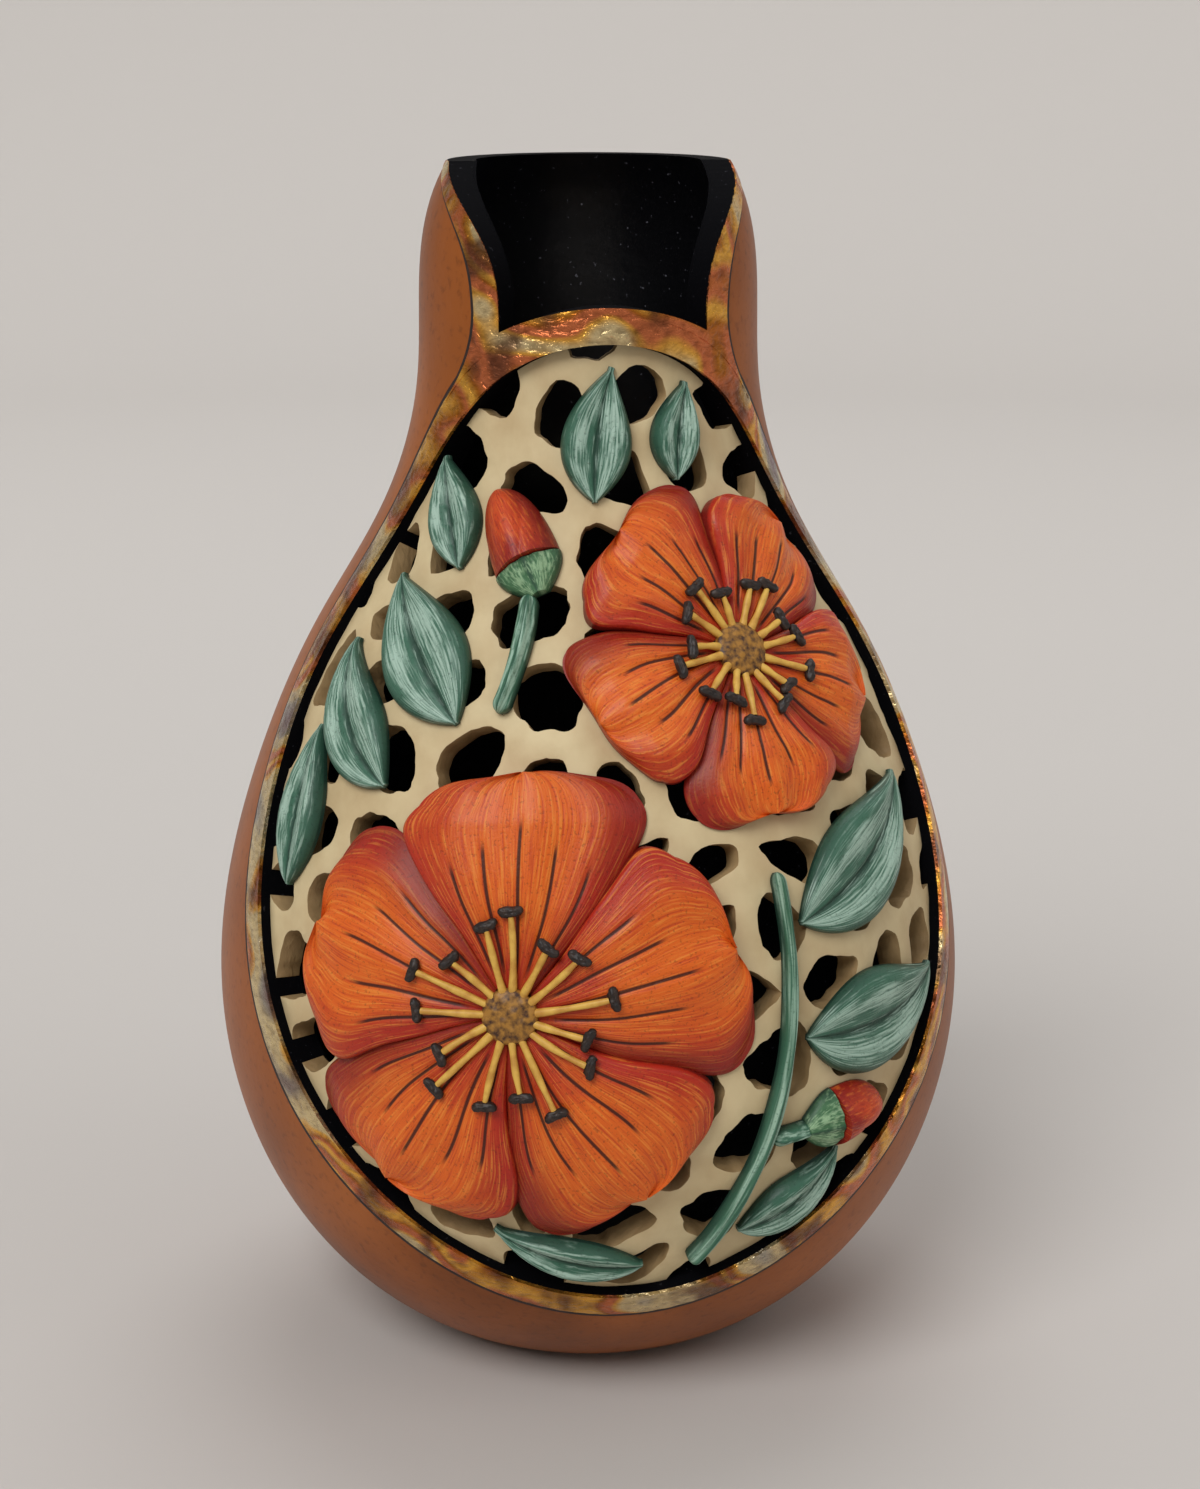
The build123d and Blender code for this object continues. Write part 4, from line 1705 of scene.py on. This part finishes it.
@dataclass
class CarvedStrip:
    """A carved piece along a path: the underside follows the gourd and the top is cut to its own lifts."""

    name: str
    path: Path
    start: float
    length: float
    half_width: Callable[[np.ndarray], np.ndarray]
    top: Callable[[np.ndarray, np.ndarray], np.ndarray]
    rows: int = 64
    columns: int = 33
    rounding: float = 0.7
    phase: float = 0.0
    lap: Callable[[np.ndarray], np.ndarray] | None = None
    pull: Callable[[np.ndarray, np.ndarray], np.ndarray] | None = None
    crowding: float = 0.3
    wall_shares: tuple[float, ...] = (0.35, 0.7)
    crease: float = 60.0

    def build(self) -> bpy.types.Object:
        """Work out the grid of the closed section along the path and roll it up.

        Returns:
            The carved piece, with the attributes that brushed paint needs.
        """
        line = np.linspace(0.0, 1.0, self.rows)
        run = (0.5 - 0.5 * np.cos(math.pi * line))[:, None]
        v, share = self._section()
        width = self.half_width(run)
        offset = width * v
        if self.lap:
            offset = offset * np.where(v > 0, 1 + self.lap(run), 1.0)
        lift = self.top(run, v) - self._edge_drop(width, v)
        lift = SEAT_LIFT + (np.maximum(lift, SEAT_LIFT + LEAST_THICKNESS) - SEAT_LIFT) * share
        distance = self.start + self.length * run + np.zeros_like(offset)
        if self.pull:
            distance = distance - self.pull(run, offset)
        points = SKIN.across(self.path.at(distance), offset, lift)
        crest = np.where(share >= 1.0, 1.0, 0.0)
        plain = np.zeros_like(offset)
        marks = {
            "brush": np.stack([plain + run, plain + v, plain + crest], -1),
            "carve": np.stack([plain + width, plain + width.max(), plain + self.phase], -1),
        }
        return smoothed(rolled(self.name, points, marks, False), self.crease)

    def _section(self) -> tuple[np.ndarray, np.ndarray]:
        """Closed section from the middle of the underside round over the top and back.

        Returns:
            Places across from -1 to 1, and shares of the height from the underside to the top.
        """
        sweep = np.linspace(-1.0, 1.0, self.columns)
        over = (1 - self.crowding) * sweep + self.crowding * np.sin(math.pi / 2 * sweep)
        under = np.array([0.0, -0.5, -1.0])
        low = np.zeros(len(under))
        side = np.ones(len(self.wall_shares))
        v = np.concatenate([under, -side, over, side, -under[::-1]])
        share = np.concatenate([low, self.wall_shares, np.ones(self.columns), self.wall_shares[::-1], low])
        return v[None, :], share[None, :]

    def _edge_drop(self, width: np.ndarray, v: np.ndarray) -> np.ndarray:
        """Drop of the top where its edges are rounded over.

        Args:
            width: Half widths.
            v: Places across from -1 to 1.

        Returns:
            Drops below the top's own lifts.
        """
        spare = np.maximum(width * np.abs(v) - np.maximum(width - self.rounding, 0.0), 0.0)
        depth = np.minimum(self.rounding, width)
        return depth - np.sqrt(np.maximum(depth**2 - np.minimum(spare, depth) ** 2, 0.0))


@dataclass
class Petal:
    """One petal with radiating folds, engraved veins and a notched, ruffled end.

    Its forms depend on run, the share of the length from the root, and on v, the place across from -1 to 1.
    """

    name: str
    path: Path
    reach: float
    phase: float
    notch: float
    rows: int = 84
    columns: int = 91
    rounding: float = 0.9
    fade_start: float = 0.5
    fade_length: float = 0.35
    lap: float = 0.16
    swell: float = 0.1
    waver: float = 0.02
    waver_turn: float = 15.0
    bluntness: int = 7
    tilt: float = 1.5
    crown: float = 1.0
    fall: float = 1.5
    fall_start: float = 0.75
    edge_fall: float = 1.6
    fold: float = 0.75
    fold_sway: float = 0.8
    ruffle: float = 0.9
    groove: float = 0.45
    groove_width: float = 0.6
    groove_start: float = 0.15
    groove_end: float = 0.8
    groove_fade: float = 0.1
    groove_step: float = 0.1
    end_start: float = 0.7
    end_pull: float = 0.7
    end_wave: float = 0.6
    end_wave_length: float = 3.6
    notch_width: float = 7.0

    def build(self) -> bpy.types.Object:
        """Carve the petal.

        Returns:
            The carved piece.
        """
        return CarvedStrip(
            self.name,
            self.path,
            PETAL_ROOT,
            self.reach,
            self.half_width,
            self.top,
            rows=self.rows,
            columns=self.columns,
            rounding=self.rounding,
            phase=self.phase,
            lap=lambda run: self.lap * self.inner(run),
            pull=self.pull,
        ).build()

    def inner(self, run: np.ndarray) -> np.ndarray:
        """1 on the inner half of the length, fading to 0 before the end."""
        return 1 - np.clip((run - self.fade_start) / self.fade_length, 0.0, 1.0) ** 2

    def half_width(self, run: np.ndarray) -> np.ndarray:
        """Half width that grows with the distance from the centre, wavers and ends blunt.

        Args:
            run: Shares of the length.

        Returns:
            Half widths.
        """
        wedge = math.tan(math.pi / PETALS) * PETAL_CLEARANCE
        blunt = np.sqrt(np.maximum(1 - run**self.bluntness, 0.0))
        plain = (PETAL_ROOT + self.reach * run) * wedge * blunt
        waver = self.waver * (1 + np.sin(self.waver_turn * run + self.phase))
        return np.maximum(plain * (1 + self.swell * self.inner(run) - waver), LEAST_HALF_WIDTH)

    def top(self, run: np.ndarray, v: np.ndarray) -> np.ndarray:
        """Lift of the top: a tilted crown with folds, a ruffled end and engraved lines.

        Args:
            run: Shares of the length.
            v: Places across.

        Returns:
            Lifts above the skin.
        """
        flat = throat_lift(PETAL_ROOT + self.reach * run)
        fall = self.fall * np.maximum(run - self.fall_start, 0.0) / (1 - self.fall_start)
        bowl = np.minimum(run * 2, 1.0) * (self.tilt * v + self.crown * (1 - v**2))
        form = flat + bowl - fall - self.edge_fall * v**6 * run
        sway = self.fold_sway * np.sin(self.phase + 3.0 * run)
        folds = self.fold * run * np.cos(3 * math.pi * v + sway)
        ruffle = self.ruffle * run**3 * np.sin(5.0 * v + 4.0 * run + self.phase) * np.abs(v)
        return form + folds + ruffle - self.grooves(run, v)

    def grooves(self, run: np.ndarray, v: np.ndarray) -> np.ndarray:
        """Depth of the engraved lines.

        Args:
            run: Shares of the length.
            v: Places across.

        Returns:
            Depths below the top.
        """
        depth = np.zeros_like(run * v)
        for k in range(1 - VEINS_ACROSS, VEINS_ACROSS):
            place = k / VEINS_ACROSS + VEIN_WAVE * np.sin(VEIN_TURN * run + self.phase + k)
            left = self.groove_end - self.groove_step * abs(k) - run
            fade = np.clip(run / self.groove_start, 0.0, 1.0) * np.clip(left / self.groove_fade, 0.0, 1.0)
            away = (v - place) * self.half_width(run) / self.groove_width
            depth = depth + self.groove * fade * np.exp(-(away**2))
        return depth

    def pull(self, run: np.ndarray, offset: np.ndarray) -> np.ndarray:
        """Distance by which the end is drawn back, most in the notch.

        Args:
            run: Shares of the length.
            offset: Distances from the middle line.

        Returns:
            Distances towards the root.
        """
        end = np.clip((run - self.end_start) / (1 - self.end_start), 0.0, 1.0) ** 2
        wave = self.end_wave * np.sin(offset / self.end_wave_length + self.phase)
        return end * (self.notch * np.exp(-((offset / self.notch_width) ** 2)) + self.end_pull + wave)


@dataclass
class Blossom:
    """Five broad petals round a seed head, with stamens fanned over them."""

    name: str
    angle: float
    height: float
    radius: float
    heading: float
    petal_bend: float = 14.0
    phase_range: tuple[float, float] = (0.0, 6.28)
    notch_range: tuple[float, float] = (0.8, 2.4)
    head_inset: float = 0.03
    head_flatness: float = 0.75
    head_share: float = 0.46
    seed_height: float = 0.22
    seed_turn: float = 9.0
    seed_floor: float = -0.3
    seed_edge: float = 0.1
    filament_share: float = 0.3
    filament_step: float = 0.05
    filament_bend: float = 8.0
    filament_sway: float = 12.0
    filament_spare: float = 4.0
    filament_taper: float = 0.25
    filament_uneven: float = 0.1
    filament_rows: int = 24
    filament_columns: int = 15
    filament_inset: float = 1.0
    filament_gap: float = 0.85
    filament_rise: float = 1.2
    anther_reach: float = 1.2
    anther_gap: float = 0.1
    anther_turn: float = 12.0
    anther_lump: float = 0.4
    anther_bow: float = 0.25
    crease: float = 60.0
    head_crease: float = 70.0

    def distance(self, place: np.ndarray) -> float:
        """Straight distance from the blossom's centre to a place."""
        centre = SKIN.lifted(np.array(self.angle), np.array(self.height), np.array(0.0))
        return float(np.linalg.norm(place - centre))

    def build(self, palette: Palette) -> None:
        """Make and dress every piece of the blossom.

        Args:
            palette: Every material of the vase.
        """
        for i in range(PETALS):
            dressed(self._petal(i), (palette.petal,), Slot.PETAL, f"{self.name}_petal_{i + 1}")
        dressed(self._seed_head(), (palette.seed,), Slot.SEED, f"{self.name}_seed_head")
        filaments, anthers = self._stamens()
        dressed(filaments, (palette.filament,), Slot.FILAMENT, f"{self.name}_filaments")
        dressed(anthers, (palette.anther,), Slot.ANTHER, f"{self.name}_anthers")

    def _petal(self, number: int) -> bpy.types.Object:
        """Carve one petal with a phase and a notch of its own.

        Args:
            number: Number of the petal, from 0.

        Returns:
            The carved petal.
        """
        scatter = random.Random(f"{self.name} {number}")
        phase = scatter.uniform(*self.phase_range)
        notch = scatter.uniform(*self.notch_range)
        heading = self.heading + number * 360.0 / PETALS
        path = SKIN.walk(self.angle, self.height, heading, self.radius, self.petal_bend)
        name = f"{self.name}_petal_{number + 1}_carved"
        return Petal(name, path, self.radius - PETAL_ROOT, phase, notch).build()

    @staticmethod
    def _place(angle: float, height: float, lift: float) -> Matrix:
        """Place on the skin in metres, with Z outwards.

        Args:
            angle: Angle of the place.
            height: Height of the place.
            lift: Lift above the skin.

        Returns:
            The place as a matrix.
        """
        point, sideways, upward, outward = SKIN.frames(np.array(angle), np.array(height))
        axes = Matrix(np.stack([sideways, upward, outward], -1).tolist()).to_4x4()
        return Matrix.Translation(Vector((point + outward * lift) * MM)) @ axes

    def _seed_head(self) -> bpy.types.Object:
        """Low button covered with small seeds.

        Returns:
            The carved seed head.
        """
        piece = ball(72, 40, 1.0)
        piece.name = f"{self.name}_seed_head_carved"
        rise = SEED_HEAD_LIFT - SEAT_LIFT
        reach = SEED_HEAD_RADIUS * (1 - self.head_inset)
        for vertex in piece.data.vertices:
            x, y, z = vertex.co
            bumps = max(math.sin(self.seed_turn * x) * math.sin(self.seed_turn * y), self.seed_floor)
            seeds = self.seed_height * bumps if z > self.seed_edge else 0.0
            flat = math.copysign(abs(z) ** self.head_flatness, z)
            lift = SEAT_LIFT + rise * (self.head_share + self.head_share * flat) + seeds
            vertex.co = (x * reach * MM, y * reach * MM, lift * MM)
        return smoothed(placed(piece, self._place(self.angle, self.height, 0.0)), self.head_crease)

    def _stamens(self) -> tuple[bpy.types.Object, bpy.types.Object]:
        """Carve the filaments, fanned and bent each its own way, and the anthers across their ends.

        Returns:
            All filaments, and all anthers.
        """
        filaments = []
        anthers = []
        count = PETALS * FILAMENTS_PER_PETAL
        for i in range(count):
            fan = self.heading + 360.0 * (i - (FILAMENTS_PER_PETAL - 1) / 2) / count
            length = self.radius * (self.filament_share + self.filament_step * (i * 2 % 3))
            bend = self.filament_bend + self.filament_sway * math.sin(2.4 * i)
            path = SKIN.walk(self.angle, self.height, fan, length + self.filament_spare, bend)
            start = SEED_HEAD_RADIUS - self.filament_inset
            share = np.linspace(0.0, 1.0, self.filament_rows)[:, None]
            turn = np.linspace(0.0, 2 * math.pi, self.filament_columns)[None, :]
            distance = start + (length - start) * share
            middle = throat_lift(distance) + self.filament_gap + self.filament_rise * share
            uneven = self.filament_uneven * np.sin(9 * share + i)
            girth = FILAMENT_RADIUS * (1.0 - self.filament_taper * share + uneven)
            offset = girth * np.cos(turn)
            points = SKIN.across(path.at(distance + 0 * offset), offset, middle + girth * np.sin(turn))
            filaments.append(rolled(f"filament_{i}", points, {}, False))
            tip = path.at(np.array(length + self.anther_reach))
            anthers.append(self._anther(i, tip, float(middle[-1, 0]) + self.anther_gap))
        return (
            smoothed(joined(filaments, f"{self.name}_filaments_carved"), self.crease),
            smoothed(joined(anthers, f"{self.name}_anthers_carved"), self.crease),
        )

    def _anther(self, number: int, tip: np.ndarray, lift: float) -> bpy.types.Object:
        """Lumpy bar set across the end of a filament.

        Args:
            number: Number of the stamen, from 0.
            tip: Angle, height and heading of the filament's end.
            lift: Lift of the bar's middle.

        Returns:
            The anther.
        """
        piece = ball(24, 18, MM)
        for vertex in piece.data.vertices:
            x, y, z = vertex.co / MM
            end = math.sqrt(max(1 - y**2, 1e-9))
            uneven = self.anther_lump * noise.noise((2.2 * x, 3.4 * y, 2.2 * z + number))
            lump = (1 - abs(y) ** 5) ** 0.5 * (1 + uneven)
            bow = self.anther_bow * (y**2 - 0.4)
            vertex.co = Vector((x / end * lump + bow, y, z / end * lump)) * MM
        heading = float(tip[2]) + self.anther_turn * (number % 3 - 1)
        turn = Matrix.Rotation(math.radians(heading), 4, "Z")
        size = Matrix.Diagonal((ANTHER_HALF_WIDTH, ANTHER_HALF_LENGTH, ANTHER_HALF_WIDTH, 1.0))
        return placed(piece, self._place(tip[0], tip[1], lift) @ turn @ size)


@dataclass
class Leaf:
    """Pointed leaf with two swelling halves, a middle groove and side veins."""

    name: str
    angle: float
    height: float
    heading: float
    length: float
    width: float
    bend: float
    columns: int = 41
    width_power: float = 0.8
    swell_power: float = 0.7
    groove: float = 0.7
    groove_width: float = 0.7
    vein: float = 0.3
    vein_gap: float = 5.0
    vein_slant: float = 1.1

    def build(self, palette: Palette) -> None:
        """Carve and dress the leaf.

        Args:
            palette: Every material of the vase.
        """
        path = SKIN.walk(self.angle, self.height, self.heading, self.length, self.bend)
        name = f"{self.name}_carved"
        strip = CarvedStrip(
            name, path, 0.0, self.length, self.half_width, self.top, columns=self.columns
        )
        dressed(strip.build(), (palette.leaf,), Slot.LEAF, self.name)

    def half_width(self, run: np.ndarray) -> np.ndarray:
        """Half width at shares of the length, widest before the middle."""
        return np.maximum(self.width * np.sin(math.pi * run**self.width_power), LEAST_HALF_WIDTH)

    def top(self, run: np.ndarray, v: np.ndarray) -> np.ndarray:
        """Lift of the top: two swelling halves, cut by the groove and the side veins.

        Args:
            run: Shares of the length.
            v: Places across from -1 to 1.

        Returns:
            Lifts above the skin.
        """
        swell = np.sin(math.pi * run) ** self.swell_power
        # Two crests beside the middle line, falling off to the edges
        form = 1.6 + 5.77 * v**2 - 7.07 * v**4
        groove = self.groove * np.exp(-((v * self.width / self.groove_width) ** 2))
        slant = run * self.length / self.vein_gap - np.abs(v) * self.vein_slant
        veins = self.vein * np.maximum(np.cos(2 * math.pi * slant), 0.0) ** 8 * (1 - v**2)
        return EDGE_LIFT + swell * (form - groove - veins)


@dataclass
class Stem:
    """Round-topped stem, thinner towards its end where it tapers."""

    name: str
    angle: float
    height: float
    heading: float
    length: float
    bend: float
    taper: float = 0.0
    rows: int = 120
    columns: int = 25
    uneven: float = 0.06
    uneven_length: float = 4.0
    least_share: float = 0.3
    ridge: float = 0.12
    ridge_length: float = 9.0

    def build(self, palette: Palette) -> None:
        """Carve and dress the stem.

        Args:
            palette: Every material of the vase.
        """
        path = SKIN.walk(self.angle, self.height, self.heading, self.length, self.bend)
        name = f"{self.name}_carved"
        grid = {"rows": self.rows, "columns": self.columns}
        strip = CarvedStrip(name, path, 0.0, self.length, self.half_width, self.top, **grid)
        dressed(strip.build(), (palette.stem,), Slot.STEM, self.name)

    def ends(self, run: np.ndarray) -> np.ndarray:
        """1 along the stem, rounding off to 0 at both ends."""
        apart = np.minimum(run, 1 - run) * self.length
        return np.sqrt(1 - np.clip(1 - apart / STEM_HALF_WIDTH, 0.0, 1.0) ** 2)

    def half_width(self, run: np.ndarray) -> np.ndarray:
        """Half width, a little uneven and rounded off at the ends.

        Args:
            run: Shares of the length.

        Returns:
            Half widths.
        """
        uneven = 1 - self.uneven * (1 + np.sin(run * self.length / self.uneven_length))
        ends = np.maximum(self.ends(run), self.least_share)
        return STEM_HALF_WIDTH * uneven * (1 - self.taper * run) * ends

    def top(self, run: np.ndarray, v: np.ndarray) -> np.ndarray:
        """Lift of the round top with its fine ridges."""
        ridges = self.ridge * np.cos(7 * v + 1.5 * np.sin(run * self.length / self.ridge_length))
        return EDGE_LIFT + (STEM_LIFT - EDGE_LIFT) * self.ends(run) * (1 - v**2 + ridges)


@dataclass
class Bud:
    """Closed bud with wrapped folds, held in a ribbed cup."""

    name: str
    angle: float
    height: float
    heading: float
    length: float
    width: float
    gap: float = 0.3
    columns: int = 49
    fullness: float = 2.2
    slimming: float = 0.98
    cup_rise: float = 2.2
    rib: float = 0.25
    fold: float = 0.9

    def build(self, palette: Palette) -> None:
        """Carve and dress the bud and its cup.

        Args:
            palette: Every material of the vase.
        """
        path = SKIN.walk(self.angle, self.height, self.heading, self.length, 0.0)
        start = CALYX_LENGTH + self.gap
        reach = self.length - start
        cup_name = f"{self.name}_calyx_carved"
        cup = CarvedStrip(cup_name, path, 0.0, CALYX_LENGTH, self.cup_width, self.cup_top)
        name = f"{self.name}_carved"
        body = CarvedStrip(
            name, path, start, reach, self.body_width, self.body_top, columns=self.columns
        )
        dressed(cup.build(), (palette.calyx,), Slot.CALYX, f"{self.name}_calyx")
        dressed(body.build(), (palette.bud,), Slot.BUD, self.name)

    def cup_width(self, run: np.ndarray) -> np.ndarray:
        """Half width of the cup, from the stem's to the bud's."""
        return STEM_HALF_WIDTH + (self.width - STEM_HALF_WIDTH) * np.sin(math.pi / 2 * run)

    def cup_top(self, run: np.ndarray, v: np.ndarray) -> np.ndarray:
        """Lift of the cup's ribbed top."""
        ribs = self.rib * run * np.cos(5 * math.pi * v)
        return EDGE_LIFT + (STEM_LIFT - EDGE_LIFT + self.cup_rise * run) * (1 - v**2) + ribs * (1 - v**2)

    def swell(self, run: np.ndarray) -> np.ndarray:
        """1 where the bud leaves its cup, rounding off to 0 at the tip."""
        return np.sqrt(np.maximum(1 - run**self.fullness, 0.0))

    def body_width(self, run: np.ndarray) -> np.ndarray:
        """Half width of the bud."""
        return np.maximum(self.width * self.swell(run) * self.slimming, LEAST_HALF_WIDTH)

    def body_top(self, run: np.ndarray, v: np.ndarray) -> np.ndarray:
        """Lift of the bud's wrapped top.

        Args:
            run: Shares of the length.
            v: Places across from -1 to 1.

        Returns:
            Lifts above the skin.
        """
        swell = self.swell(run)
        wrap = np.abs(np.sin(2.2 * v + 2.4 * run)) ** 0.5
        return EDGE_LIFT + (BUD_LIFT - EDGE_LIFT) * swell * (1 - v**2) - self.fold * (1 - wrap) * swell


@dataclass
class Studio:
    """Pale floor, soft lights and the camera."""

    azimuth: float = -6.0
    elevation: float = 15.0
    distance: float = 0.6795
    target: tuple[float, float, float] = (0.0, 0.0, 0.1438)
    lens: float = 67.18
    shift: float = 0.008
    sensor: float = 36.0
    floor_colour: str = "C9C5C1"
    floor_radius: float = 1.7
    floor_steps: int = 96
    floor_start: float = 0.4
    floor_crease: float = 60.0
    floor_weld: float = 1e-5
    cove_radius: float = 0.7
    cove_rows: int = 16
    wall_top: float = 1.5
    sky_colour: str = "D8D6D4"
    sky_power: float = 0.55

    def build(self) -> None:
        """Set the stage."""
        scene = bpy.context.scene
        scene.view_settings.view_transform = "Standard"
        self._floor()
        self._light("key_light", (-0.6, -0.9, 1.05), 32.0, 1.7)
        self._light("fill_light", (1.0, -0.7, 0.6), 50.0, 0.55)
        self._light("top_light", (0.15, 0.6, 1.2), 40.0, 0.7)
        self._world()
        self._camera()

    def _floor(self) -> None:
        """Wide plain floor that curves up into a round wall."""
        line = [(0.0, 0.0, 0.0), (self.floor_start, 0.0, 0.0)]
        for turn in np.linspace(0.0, math.pi / 2, self.cove_rows):
            reach = self.floor_radius + self.cove_radius * math.sin(turn)
            line.append((reach, 0.0, self.cove_radius - self.cove_radius * math.cos(turn)))
        line.append((self.floor_radius + self.cove_radius, 0.0, self.wall_top))
        floor = smoothed(turned("floor", line, self.floor_steps, self.floor_weld), self.floor_crease)
        shader = Shader("floor_paper")
        shader.shade(Base_Color=linear(self.floor_colour), Roughness=0.9)
        floor.data.materials.append(shader.material)

    @staticmethod
    def _light(name: str, source: Sequence[float], breadth: float, power: float) -> None:
        """One wide, even light.

        Args:
            name: Name of the light.
            source: Direction that it comes from.
            breadth: Angle in degrees that it fills, which softens its shadows.
            power: Strength in watts per square metre.
        """
        bpy.ops.object.select_all(action="DESELECT")
        bpy.ops.object.light_add(type="SUN", location=source)
        lamp = bpy.context.object
        lamp.name = name
        lamp.data.angle = math.radians(breadth)
        lamp.data.energy = power
        lamp.rotation_euler = Vector(source).to_track_quat("Z", "Y").to_euler()

    def _world(self) -> None:
        """Even grey light from all round."""
        world = bpy.data.worlds.new("soft_room")
        world.use_nodes = True
        background = world.node_tree.nodes["Background"]
        background.inputs["Color"].default_value = linear(self.sky_colour)
        background.inputs["Strength"].default_value = self.sky_power
        bpy.context.scene.world = world

    def _camera(self) -> None:
        """Camera in front of the window and a little above."""
        turn, tilt = math.radians(self.azimuth), math.radians(self.elevation)
        back = Vector((math.sin(turn) * math.cos(tilt), -math.cos(turn) * math.cos(tilt), math.sin(tilt)))
        bpy.ops.object.select_all(action="DESELECT")
        bpy.ops.object.camera_add(location=Vector(self.target) + back * self.distance)
        camera = bpy.context.object
        camera.name = "front_camera"
        camera.rotation_euler = (-back).to_track_quat("-Z", "Y").to_euler()
        camera.data.lens = self.lens
        camera.data.sensor_width = self.sensor
        camera.data.shift_x = self.shift
        bpy.context.scene.camera = camera


BLOSSOMS = (
    Blossom("blossom_low", -17.0, 106.0, 55.0, 83.0),
    Blossom("blossom_high", 27.0, 180.0, 40.0, 44.0),
)
LEAVES = (
    Leaf("leaf_crown", -4.0, 212.0, 92.0, 30.0, 8.0, -20.0),
    Leaf("leaf_crown_left", -40.5, 197.0, 116.0, 28.0, 7.0, 0.0),
    Leaf("leaf_crown_right", 22.0, 216.0, 88.0, 22.0, 6.0, -20.0),
    Leaf("leaf_left_high", -31.0, 166.0, 134.0, 44.0, 11.0, -14.0),
    Leaf("leaf_left_mid", -43.0, 151.0, 152.0, 42.0, 9.0, -52.0),
    Leaf("leaf_left_low", -61.0, 124.0, 92.0, 38.0, 7.5, 8.0),
    Leaf("leaf_toe_left", 3.0, 42.0, 178.0, 36.0, 5.5, -22.0),
    Leaf("leaf_toe_right", 18.5, 49.0, 14.0, 31.0, 7.0, 40.0),
    Leaf("leaf_right_low", 27.5, 96.0, -8.0, 50.0, 12.0, 30.0),
    Leaf("leaf_right_mid", 28.0, 122.0, 18.0, 54.0, 12.0, 30.0),
)
STEMS = (
    Stem("stem_low", 11.0, 42.0, 58.0, 98.0, 34.0, 0.4),
    Stem("stem_bud_low", 21.8, 73.0, 0.0, 10.5, 6.0),
    Stem("stem_bud_high", -23.0, 169.0, 74.0, 28.0, 20.0),
)
BUDS = (
    Bud("bud_low", 27.6, 73.4, 6.0, 23.0, 7.5),
    Bud("bud_high", -17.5, 193.0, 118.0, 27.0, 8.0),
)


def main() -> None:
    """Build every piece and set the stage."""
    logging.basicConfig(level=logging.INFO, format="%(name)s: %(message)s")
    palette = Palette.mixed()
    Shell().build(palette)
    Gilding().build(palette)
    Fretwork().build(palette, BLOSSOMS)
    for group in (BLOSSOMS, LEAVES, STEMS, BUDS):
        for part in group:
            part.build(palette)
    Studio().build()


if __name__ == "__main__":
    main()
